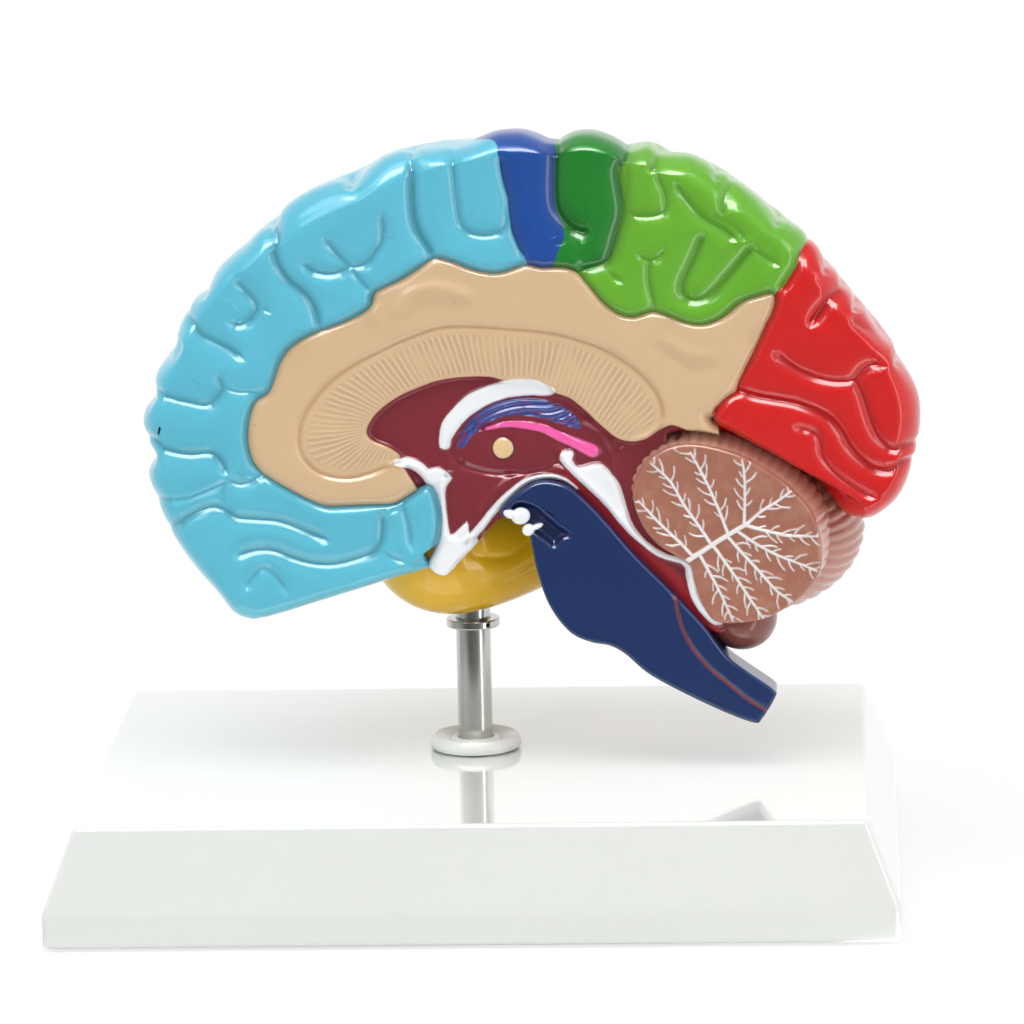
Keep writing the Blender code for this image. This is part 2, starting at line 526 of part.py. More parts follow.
def smooth_path(points, closed=False, step=1.5):
    """Points about a step apart on the Catmull-Rom curve through the given ones, in mm."""
    p = np.asarray(points, float)
    padded = np.vstack([p[-1:], p, p[:2]]) if closed else np.vstack([p[:1], p, p[-1:]])
    samples = []
    for a, b, c, d in zip(padded, padded[1:], padded[2:], padded[3:]):
        count = max(2, int(np.ceil(np.hypot(*(c - b)) / step)))
        t = np.linspace(0.0, 1.0, count, endpoint=False)[:, None]
        bend = (2 * a - 5 * b + 4 * c - d) * t**2 + (3 * b - a - 3 * c + d) * t**3
        samples.append(0.5 * (2 * b + (c - a) * t + bend))
    samples.append(padded[1:2] if closed else p[-1:])
    return np.vstack(samples)


def even_loop(points, count):
    """The smooth loop through the points as count points at equal distances."""
    path = smooth_path(points, closed=True, step=0.8)
    along = np.concatenate([[0.0], np.cumsum(np.hypot(*np.diff(path, axis=0).T))])
    wanted = np.linspace(0.0, along[-1], count, endpoint=False)
    return np.stack([np.interp(wanted, along, path[:, k]) for k in (0, 1)], axis=1)


def distance_to_path(uv, path):
    """Distance of each point to the nearest stretch of the path."""
    best = np.full(len(uv), np.inf)
    for start, end in zip(path, path[1:]):
        run = end - start
        t = np.clip((uv - start) @ run / max(run @ run, 1e-9), 0.0, 1.0)
        best = np.minimum(best, np.hypot(*(uv - start - t[:, None] * run).T))
    return best


def distance_into(uv, outline):
    """Distance to a smooth loop, positive inside it and negative outside."""
    path = smooth_path(outline, closed=True)
    inside = np.zeros(len(uv), bool)
    for (x0, y0), (x1, y1) in zip(path, path[1:]):
        if y0 == y1:
            continue
        spans = (uv[:, 1] > min(y0, y1)) & (uv[:, 1] <= max(y0, y1))
        inside ^= spans & (uv[:, 0] < x0 + (uv[:, 1] - y0) * (x1 - x0) / (y1 - y0))
    return np.where(inside, 1.0, -1.0) * distance_to_path(uv, path)


def ease(value, start, end):
    """Smooth step from 0 at start to 1 at end."""
    t = np.clip((value - start) / (end - start), 0.0, 1.0)
    return t * t * (3.0 - 2.0 * t)


def brain_point(right, back, up):
    """Metres from the collar's top, from mm right of the rod, behind the cut and above the collar."""
    scale = MM * BRAIN_SCALE
    return (right * scale, (back + CUT_FROM_POST) * scale, up * scale)


def loft(name, rings, collection):
    """Closed skin over rings of equal count, each an array of (right, back, up) in mm."""
    bm = bmesh.new()
    loops = [[bm.verts.new(brain_point(*point)) for point in ring] for ring in rings]
    for low, high in zip(loops, loops[1:]):
        for k in range(len(low)):
            bm.faces.new((low[k - 1], low[k], high[k], high[k - 1]))
    bm.faces.new(loops[0])
    bm.faces.new(loops[-1][::-1])
    bmesh.ops.recalc_face_normals(bm, faces=bm.faces)
    return object_from_bmesh(name, bm, collection)


def make_cerebrum(helpers):
    """Sagittal sections from the cut face out to the domed side.

    Each section is the cut outline, pushed out to the rim over RIM_DEPTH, then shrunk towards the
    middle of the dome by the superellipse (1 - t^p)^(1/p).
    """
    cut = even_loop(CEREBRUM_OUTLINE, 160)
    ahead = np.roll(cut, -1, axis=0) - np.roll(cut, 1, axis=0)
    ahead /= np.hypot(*ahead.T)[:, None]
    outward = np.stack([-ahead[:, 1], ahead[:, 0]], axis=1)
    ends = np.where(outward[:, 0] < 0.0, RIM_BULGE_FRONT, RIM_BULGE_BACK)
    bulge = RIM_BULGE_TOP + (ends - RIM_BULGE_TOP) * outward[:, 0] ** 2
    bulge *= ease(cut[:, 1], 20.0, 45.0)
    rim = cut + outward * bulge[:, None]
    middle = np.array([12.0, 52.0])
    dome_power = 2.3

    rings = []
    for back in (0.0, 1.5, 4.0, 8.0, RIM_DEPTH, 20.0, 27.0, 34.0, 41.0, 47.0, 52.0, 56.0, 59.0, 60.6):
        if back <= RIM_DEPTH:
            flat = cut + (rim - cut) * math.sin(back / RIM_DEPTH * math.pi / 2)
        else:
            t = (back - RIM_DEPTH) / (HEMISPHERE_DEPTH - RIM_DEPTH)
            shrink = (1.0 - t**dome_power) ** (1.0 / dome_power)
            flat = middle + (rim - middle) * shrink
        rings.append([(right, back, up) for right, up in flat])
    return loft("cerebrum_form", rings, helpers)


def make_slab(name, outline, thickness, rounding, helpers):
    """Flat outline with its far edge rounded, from just before the cut face back to its thickness."""
    curve = bpy.data.curves.new(name, "CURVE")
    curve.dimensions = "2D"
    curve.fill_mode = "BOTH"
    spline = curve.splines.new("POLY")
    path = smooth_path(outline, closed=True)[:-1]
    spline.points.add(len(path) - 1)
    scale = MM * BRAIN_SCALE
    for point, (right, up) in zip(spline.points, path):
        point.co = (right * scale, up * scale, 0.0, 1.0)
    spline.use_cyclic_u = True
    curve.extrude = (thickness - rounding) * scale
    curve.bevel_depth = rounding * scale
    curve.bevel_resolution = 2
    curve.offset = -rounding * scale
    shape = bpy.data.objects.new(name + "_curve", curve)
    helpers.objects.link(shape)
    shape.rotation_euler = (math.pi / 2, 0.0, 0.0)
    shape.location = brain_point(0.0, 0.0, 0.0)
    bpy.context.view_layer.update()
    graph = bpy.context.evaluated_depsgraph_get()
    mesh = bpy.data.meshes.new_from_object(shape.evaluated_get(graph))
    mesh.transform(shape.matrix_world)
    bpy.data.objects.remove(shape, do_unlink=True)
    bm = bmesh.new()
    bm.from_mesh(mesh)
    bmesh.ops.remove_doubles(bm, verts=bm.verts, dist=0.00001)
    return object_from_bmesh(name, bm, helpers)


def make_lobe(name, centre, half_sizes, tilt_deg, helpers):
    """Ellipsoid, its rear tilted up."""
    bm = bmesh.new()
    bmesh.ops.create_uvsphere(bm, u_segments=48, v_segments=24, radius=1.0)
    tilt = math.radians(tilt_deg)
    for vert in bm.verts:
        along, back, across = (half * coordinate for half, coordinate in zip(half_sizes, vert.co))
        right = along * math.cos(tilt) - across * math.sin(tilt)
        up = along * math.sin(tilt) + across * math.cos(tilt)
        vert.co = brain_point(centre[0] + right, centre[1] + back, centre[2] + up)
    return object_from_bmesh(name, bm, helpers)


def cut_flat(bm):
    """Removes what lies before the cut face and closes the opening."""
    geometry = bm.verts[:] + bm.edges[:] + bm.faces[:]
    plane = {"plane_co": brain_point(0.0, 0.0, 0.0), "plane_no": (0.0, -1.0, 0.0)}
    cut = bmesh.ops.bisect_plane(bm, geom=geometry, clear_outer=True, **plane)
    edges = [item for item in cut["geom_cut"] if isinstance(item, bmesh.types.BMEdge)]
    if edges:
        bmesh.ops.contextual_create(bm, geom=edges)


def outer_shell(bm):
    """Drops every closed skin but the widest, so that no hollow is left inside."""
    left = set(bm.verts)
    shells = []
    while left:
        stack = [left.pop()]
        shell = []
        while stack:
            vert = stack.pop()
            shell.append(vert)
            for edge in vert.link_edges:
                other = edge.other_vert(vert)
                if other in left:
                    left.remove(other)
                    stack.append(other)
        shells.append(shell)
    shells.sort(key=lambda shell: max(v.co.x for v in shell) - min(v.co.x for v in shell))
    inner = [vert for shell in shells[:-1] for vert in shell]
    bmesh.ops.delete(bm, geom=inner, context="VERTS")


def furrow(uv, sulci):
    """Depth in mm that the furrows take from the surface: a narrow core in a wide rounded shoulder."""
    depth = np.zeros(len(uv))
    for deep, points in sulci.values():
        gap = distance_to_path(uv, smooth_path(points))
        core = np.exp(-((gap / SULCUS_HALF_WIDTH) ** 2))
        shoulder = np.exp(-((gap / GYRUS_ROUNDING) ** 2))
        depth = np.maximum(depth, deep * (0.7 * core + 0.3 * shoulder))
    return depth


def face_recess(uv):
    """Depth in mm of the stepped middle of the cut face: limbic band, corpus callosum, ventricle."""
    steps = (
        (LIMBIC_OUTLINE, LIMBIC_RECESS),
        (CALLOSUM_OUTLINE, CALLOSUM_RECESS),
        (VENTRICLE_OUTLINE, VENTRICLE_RECESS),
    )
    depth = np.zeros(len(uv))
    for outline, deep in steps:
        depth += deep * ease(distance_into(uv, outline), -RECESS_SLOPE, RECESS_SLOPE)
    for outline in (STEM_OUTLINE, VERMIS_OUTLINE):
        depth *= 1.0 - ease(distance_into(uv, outline), -RECESS_SLOPE, RECESS_SLOPE)
    return depth


def folia(right, back, up):
    """Depth in mm of the cerebellum's fine ridges, which run out like spokes seen from the side."""
    centre, half_sizes, _ = LOBES["cerebellar_hemisphere"]
    across, deep, high = right - centre[0], back - centre[1], up - centre[2]
    reach = np.sqrt(sum((x / half) ** 2 for x, half in zip((across, deep, high), half_sizes)))
    on_cerebellum = 1.0 - ease(reach, 1.03, 1.08)
    ridges = round(2 * math.pi * half_sizes[2] / FOLIA_PITCH)
    wave = 0.5 - 0.5 * np.cos(ridges * np.arctan2(high, across))
    return FOLIA_DEPTH * wave * on_cerebellum * ease(back, 1.0, 4.0)


def carve(obj):
    """Moves the vertices in along their normals by the furrows, steps and folia."""
    mesh = obj.data
    count = len(mesh.vertices)
    points, normals = np.empty(count * 3), np.empty(count * 3)
    mesh.vertices.foreach_get("co", points)
    mesh.vertices.foreach_get("normal", normals)
    points, normals = points.reshape(-1, 3), normals.reshape(-1, 3)
    right, back, up = (points / (MM * BRAIN_SCALE) - (0.0, CUT_FROM_POST, 0.0)).T
    uv = np.stack([right, up], axis=1)

    on_face = ease(-normals[:, 1], 0.5, 0.9) * (1.0 - ease(back, 0.5, 2.0))
    near_face = 1.0 - ease(back, RIM_DEPTH - 3.0, RIM_DEPTH + 6.0)
    off_stem = ease(-distance_into(uv, STEM_OUTLINE), 0.0, 2.0)
    off_vermis = ease(-distance_into(uv, VERMIS_OUTLINE), 0.0, 2.0)
    depth = near_face * off_stem * off_vermis * furrow(uv, FACE_SULCI) + on_face * face_recess(uv)
    depth += (1.0 - near_face) * furrow(uv, SIDE_SULCI) + folia(right, back, up)
    points -= normals * depth[:, None] * MM * BRAIN_SCALE
    mesh.vertices.foreach_set("co", points.ravel())
    mesh.update()


def make_brain(collection, helpers):
    """The casting: its rounded masses fused, cut flat, carved, and bored for the sleeve."""
    forms = [
        make_cerebrum(helpers),
        make_slab("stem_form", STEM_OUTLINE, STEM_THICKNESS, STEM_ROUNDING, helpers),
        make_slab("vermis_form", VERMIS_OUTLINE, VERMIS_THICKNESS, VERMIS_ROUNDING, helpers),
        *(make_lobe(name, *lobe, helpers) for name, lobe in LOBES.items()),
    ]
    fused = bmesh.new()
    for form in forms:
        part = bmesh.new()
        part.from_mesh(form.data)
        cut_flat(part)
        flat = bpy.data.meshes.new(form.name + "_flat")
        part.to_mesh(flat)
        part.free()
        fused.from_mesh(flat)
        bpy.data.meshes.remove(flat)
        bpy.data.objects.remove(form, do_unlink=True)
    brain = object_from_bmesh("brain_casting", fused, collection, PVC_BLUE)
    skin = brain.modifiers.new("fuse", "REMESH")
    skin.mode = "VOXEL"
    skin.voxel_size = SCULPT_GRAIN * MM * BRAIN_SCALE
    bake(brain)
    shell = bmesh.new()
    shell.from_mesh(brain.data)
    outer_shell(shell)
    shell.to_mesh(brain.data)
    shell.free()
    carve(brain)
    brain.data.shade_smooth()
    triangles = sum(len(polygon.vertices) - 2 for polygon in brain.data.polygons)
    thin = brain.modifiers.new("thin_out", "DECIMATE")
    thin.ratio = min(1.0, CASTING_TRIANGLES / triangles)
    roof = POST_INTO_BRAIN + BUSH_WALL + 2 * FIT_GAP
    bore = cylinder("sleeve_bore", BUSH_RADIUS + FIT_GAP, -5 * MM, roof, (0.0, 0.0), helpers)
    boolean(brain, "DIFFERENCE", bore)
    return brain, bore


def make_empty(name, location, collection):
    empty = bpy.data.objects.new(name, None)
    empty.location = location
    collection.objects.link(empty)
    return empty


def main():
    clear_scene()
    model = new_collection("brain_anatomy_model")
    helpers = new_collection("cutters")

    stand = make_empty("stand", (0.0, 0.0, 0.0), model)
    stand_pieces = [make_tray(model, helpers), make_post(model), make_collar(model), make_rosette(model)]
    stand_pieces += [make_washer(model), make_screw(model, helpers), *make_feet(model)]
    for piece in stand_pieces:
        piece.parent = stand

    swivel = make_empty("brain_swivel_axis", (POST_X, POST_Y, COLLAR_TOP), model)
    for piece in (*make_brain(model, helpers), make_bush(model)):
        piece.parent = swivel


if __name__ == "__main__":
    main()
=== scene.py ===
"""Looks of a brain anatomy model: the painted right half of a brain on a rod over a glossy white tray.

Brain points are written as (right, up) in mm on the cut face, from the rod's axis and the collar's top,
or as (right, back, up), where back runs from the cut face into the brain.
"""

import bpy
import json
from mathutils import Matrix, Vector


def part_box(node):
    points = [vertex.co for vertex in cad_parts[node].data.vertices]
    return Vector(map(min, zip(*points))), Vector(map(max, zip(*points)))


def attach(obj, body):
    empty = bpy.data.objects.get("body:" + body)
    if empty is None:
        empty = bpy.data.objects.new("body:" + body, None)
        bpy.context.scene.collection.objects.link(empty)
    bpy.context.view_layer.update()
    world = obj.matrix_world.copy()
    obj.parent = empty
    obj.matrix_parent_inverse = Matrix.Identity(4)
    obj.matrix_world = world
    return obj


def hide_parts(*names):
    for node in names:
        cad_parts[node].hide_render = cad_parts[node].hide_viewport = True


bl_info = {
    "name": "Brain Anatomy Model",
    "version": (1, 0, 0),
    "blender": (4, 5, 0),
    "location": "3D View > Sidebar > Brain Model",
    "description": "Builds the painted brain casting, its stand and a studio round them",
    "category": "Add Mesh",
}

import json
import math

import bmesh
import bpy
import numpy as np
from bpy.props import FloatProperty, FloatVectorProperty, PointerProperty
from mathutils import Matrix

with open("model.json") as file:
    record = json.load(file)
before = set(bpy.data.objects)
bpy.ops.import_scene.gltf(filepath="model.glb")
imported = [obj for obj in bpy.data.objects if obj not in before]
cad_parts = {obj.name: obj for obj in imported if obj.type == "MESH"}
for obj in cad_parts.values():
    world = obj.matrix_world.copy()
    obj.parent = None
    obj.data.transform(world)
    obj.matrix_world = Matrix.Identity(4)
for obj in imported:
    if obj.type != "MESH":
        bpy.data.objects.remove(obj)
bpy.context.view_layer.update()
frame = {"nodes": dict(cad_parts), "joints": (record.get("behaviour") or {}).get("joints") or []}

MM = 0.001
SEAT = np.array(frame["joints"][0]["pos_m"])
CUT_BEFORE_ROD = 20.0

# Sizes in mm of the outer band: overlap of its rolled edge and depth of the stretches that others hide
LIP_OVERLAP = 0.8
HIDDEN_DEPTH = 6.5
# Rim: depth at which it is widest, its swell on the underside, and how many of the dome's rings its piece has
RIM_DEPTH = 9.0
RIM_SWELL_BELOW = 1.5
RIM_RINGS = 15
# Dome: its middle as (right, up), its depth and the power of its superellipse
DOME_MIDDLE = (12.0, 52.0)
DOME_DEPTH = 61.0
DOME_POWER = 2.1
# Points around the cortex, of which the dome keeps one in three
CORTEX_POINTS = 1340
DOME_THINNING = 3
# Depths in mm over which one form takes over from another: the domed side's furrows from the cut face's, the
# smooth dome from the rim's creases, and relief towards the dome's middle from relief along the normals
SIDE_STARTS = (11.0, 20.0)
CREASES_END = (12.0, 20.0)
DOME_RELIEF_STARTS = (20.0, 30.0)
# Middle of the limbic field's rays, and how many there are
LIMBIC_MIDDLE = (12.0, 46.0)
LIMBIC_RAYS = 690
# Slabs of the stem and the cerebellum: radius of their front edge and thickness
SLAB_ROUNDING = 0.8
SLAB_THICKNESS = 9.0
# View from the front: how far a point 1 mm deeper seems to move up, and where the eye is, right and away
VIEW_SHIFT = 0.2
VIEW_CENTRE = 73.5
VIEW_DISTANCE = 1295.0
CAMERA_PLACE = (68.87, -1309.87, 335.79)
# The domed side's furrows are wider, and rounder at the bottom, than those of the cut face
SIDE_GROOVE = {"bottom": 0.9, "wider": 1.45}
# Signed distance in mm that stands for well outside a painted zone
FAR_OUTSIDE = -9.0
# Solids under the tray's corners
FOOT_PADS = [f"foot_pad_{k}" for k in (1, 2, 3, 4)]

# Edge of the cut face, clockwise from the chiasm
FACE_EDGE = [
    (-8.0, 14.0), (-13.0, 13.0), (-22.0, 10.2), (-32.0, 7.4), (-38.0, 5.6), (-42.0, 4.9), (-46.3, 7.2),
    (-50.5, 12.6), (-55.0, 19.5), (-58.8, 27.0), (-60.5, 34.0), (-61.3, 42.0), (-60.2, 50.0), (-57.0, 57.5),
    (-53.0, 65.0), (-48.0, 71.2), (-42.0, 76.3), (-35.0, 80.8), (-25.0, 86.0), (-15.0, 91.2), (-6.0, 95.0),
    (4.0, 97.2), (14.0, 98.2), (25.0, 98.4), (35.0, 96.0), (45.0, 91.2), (53.0, 86.0), (60.0, 81.0),
    (66.8, 75.0), (72.0, 68.5), (77.5, 62.0), (82.5, 56.0), (85.3, 49.0), (86.4, 41.0), (86.4, 34.4),
    (84.6, 29.0), (79.6, 24.6), (74.6, 25.2), (69.5, 30.0), (61.0, 36.0), (53.0, 39.6), (44.0, 40.0),
    (36.0, 32.0), (28.0, 24.0), (20.0, 22.0), (12.5, 23.5), (7.0, 24.3), (0.0, 18.6), (-3.0, 14.5),
]

# Outline of the rim as seen from the front, clockwise from the frontal pole's underside
RIM_OUTLINE = [
    (-42.0, 4.7), (-45.5, 5.8), (-48.5, 9.5), (-53.0, 15.0), (-57.5, 22.0), (-61.0, 30.0), (-61.9, 33.5),
    (-60.8, 36.6), (-62.0, 39.5), (-62.9, 42.5), (-62.6, 46.0), (-61.1, 48.6), (-60.8, 52.0), (-59.8, 54.8),
    (-57.2, 58.2), (-56.0, 62.0), (-54.4, 66.0), (-50.8, 69.9), (-48.6, 73.6), (-45.4, 76.8), (-42.9, 78.8),
    (-40.0, 82.0), (-37.2, 83.8), (-35.4, 86.2), (-32.0, 88.6), (-28.0, 90.6), (-24.0, 91.9), (-21.4, 92.0),
    (-18.0, 94.6), (-14.0, 97.0), (-10.0, 98.2), (-5.0, 98.4), (0.0, 98.8), (3.0, 99.6), (7.0, 101.2),
    (12.0, 101.6), (15.6, 100.8), (17.6, 100.2), (20.0, 100.8), (24.0, 101.4), (28.0, 100.8), (32.0, 99.4),
    (34.5, 98.4), (38.0, 98.4), (41.6, 96.8), (46.0, 96.0), (50.0, 94.2), (54.0, 91.6), (58.0, 88.2),
    (62.0, 84.6), (64.4, 83.0), (67.0, 81.0), (69.6, 78.8), (72.0, 75.0), (75.0, 71.0), (78.0, 66.6),
    (80.4, 63.8), (83.0, 60.4), (85.5, 56.2), (87.0, 53.0), (89.0, 48.0), (89.7, 44.0), (89.4, 38.0),
    (88.2, 34.0), (86.8, 30.6), (84.0, 26.6), (81.0, 24.4), (78.5, 23.6), (74.0, 24.4),
]

# Left side of the white lamina, upwards, then the tan paint's edge, clockwise
LAMINA_LEFT = [(-7.2, 15.2), (-6.3, 17.5), (-5.4, 20.0), (-5.0, 23.0), (-5.2, 26.0), (-6.2, 29.5)]
TAN_EDGE = [
    (-8.3, 30.6), (-12.0, 28.5), (-15.0, 27.2), (-20.0, 27.0), (-25.0, 26.8), (-28.0, 26.9), (-32.0, 28.7),
    (-36.0, 31.0), (-39.0, 33.0), (-41.5, 35.5), (-42.6, 38.5), (-42.8, 41.5), (-42.3, 45.0), (-41.0, 48.0),
    (-38.5, 49.8), (-37.3, 52.5), (-36.0, 56.0), (-34.0, 58.8), (-31.0, 60.9), (-27.5, 62.3), (-23.0, 64.0),
    (-19.0, 66.0), (-17.3, 67.6), (-16.6, 69.8), (-12.0, 72.0), (-9.0, 73.8), (-5.0, 76.2), (-2.0, 75.8),
    (2.0, 74.2), (6.0, 73.3), (9.0, 73.6), (13.0, 74.8), (16.0, 74.2), (19.0, 74.2), (22.0, 73.6),
    (25.0, 70.5), (28.0, 67.0), (31.0, 64.8), (34.0, 64.2), (37.0, 65.0), (40.0, 64.6), (43.0, 63.3),
    (46.0, 62.5), (49.0, 62.8), (52.0, 64.3), (55.0, 66.8), (58.0, 67.9), (61.3, 68.3), (61.2, 65.0),
    (60.0, 62.5), (57.5, 57.0), (54.0, 50.3), (53.2, 48.8), (51.0, 46.8), (49.3, 44.7), (48.2, 42.8),
]
HIDDEN_INNER = [
    (47.4, 41.2), (44.0, 41.6), (40.0, 38.0), (34.5, 33.5), (27.0, 26.5), (20.0, 24.5), (12.4, 26.0),
    (7.0, 26.6), (0.0, 21.0), (-4.4, 15.6),
]
# Points of the inner edge and of the face edge that lie across the band from each other
BAND_KEYS = [
    (0, 0), (6, 2), (11, 5), (13, 6), (15, 8), (16, 10), (17, 11), (20, 13), (22, 14), (24, 16), (26, 17),
    (28, 18), (30, 19), (32, 20), (36, 22), (41, 24), (44, 25), (48, 26), (52, 27), (54, 29), (56, 31),
    (58, 33), (59, 35), (61, 37), (62, 40), (63, 41), (64, 42), (66, 43), (67, 44), (68, 45), (69, 46),
    (70, 47), (71, 48),
]

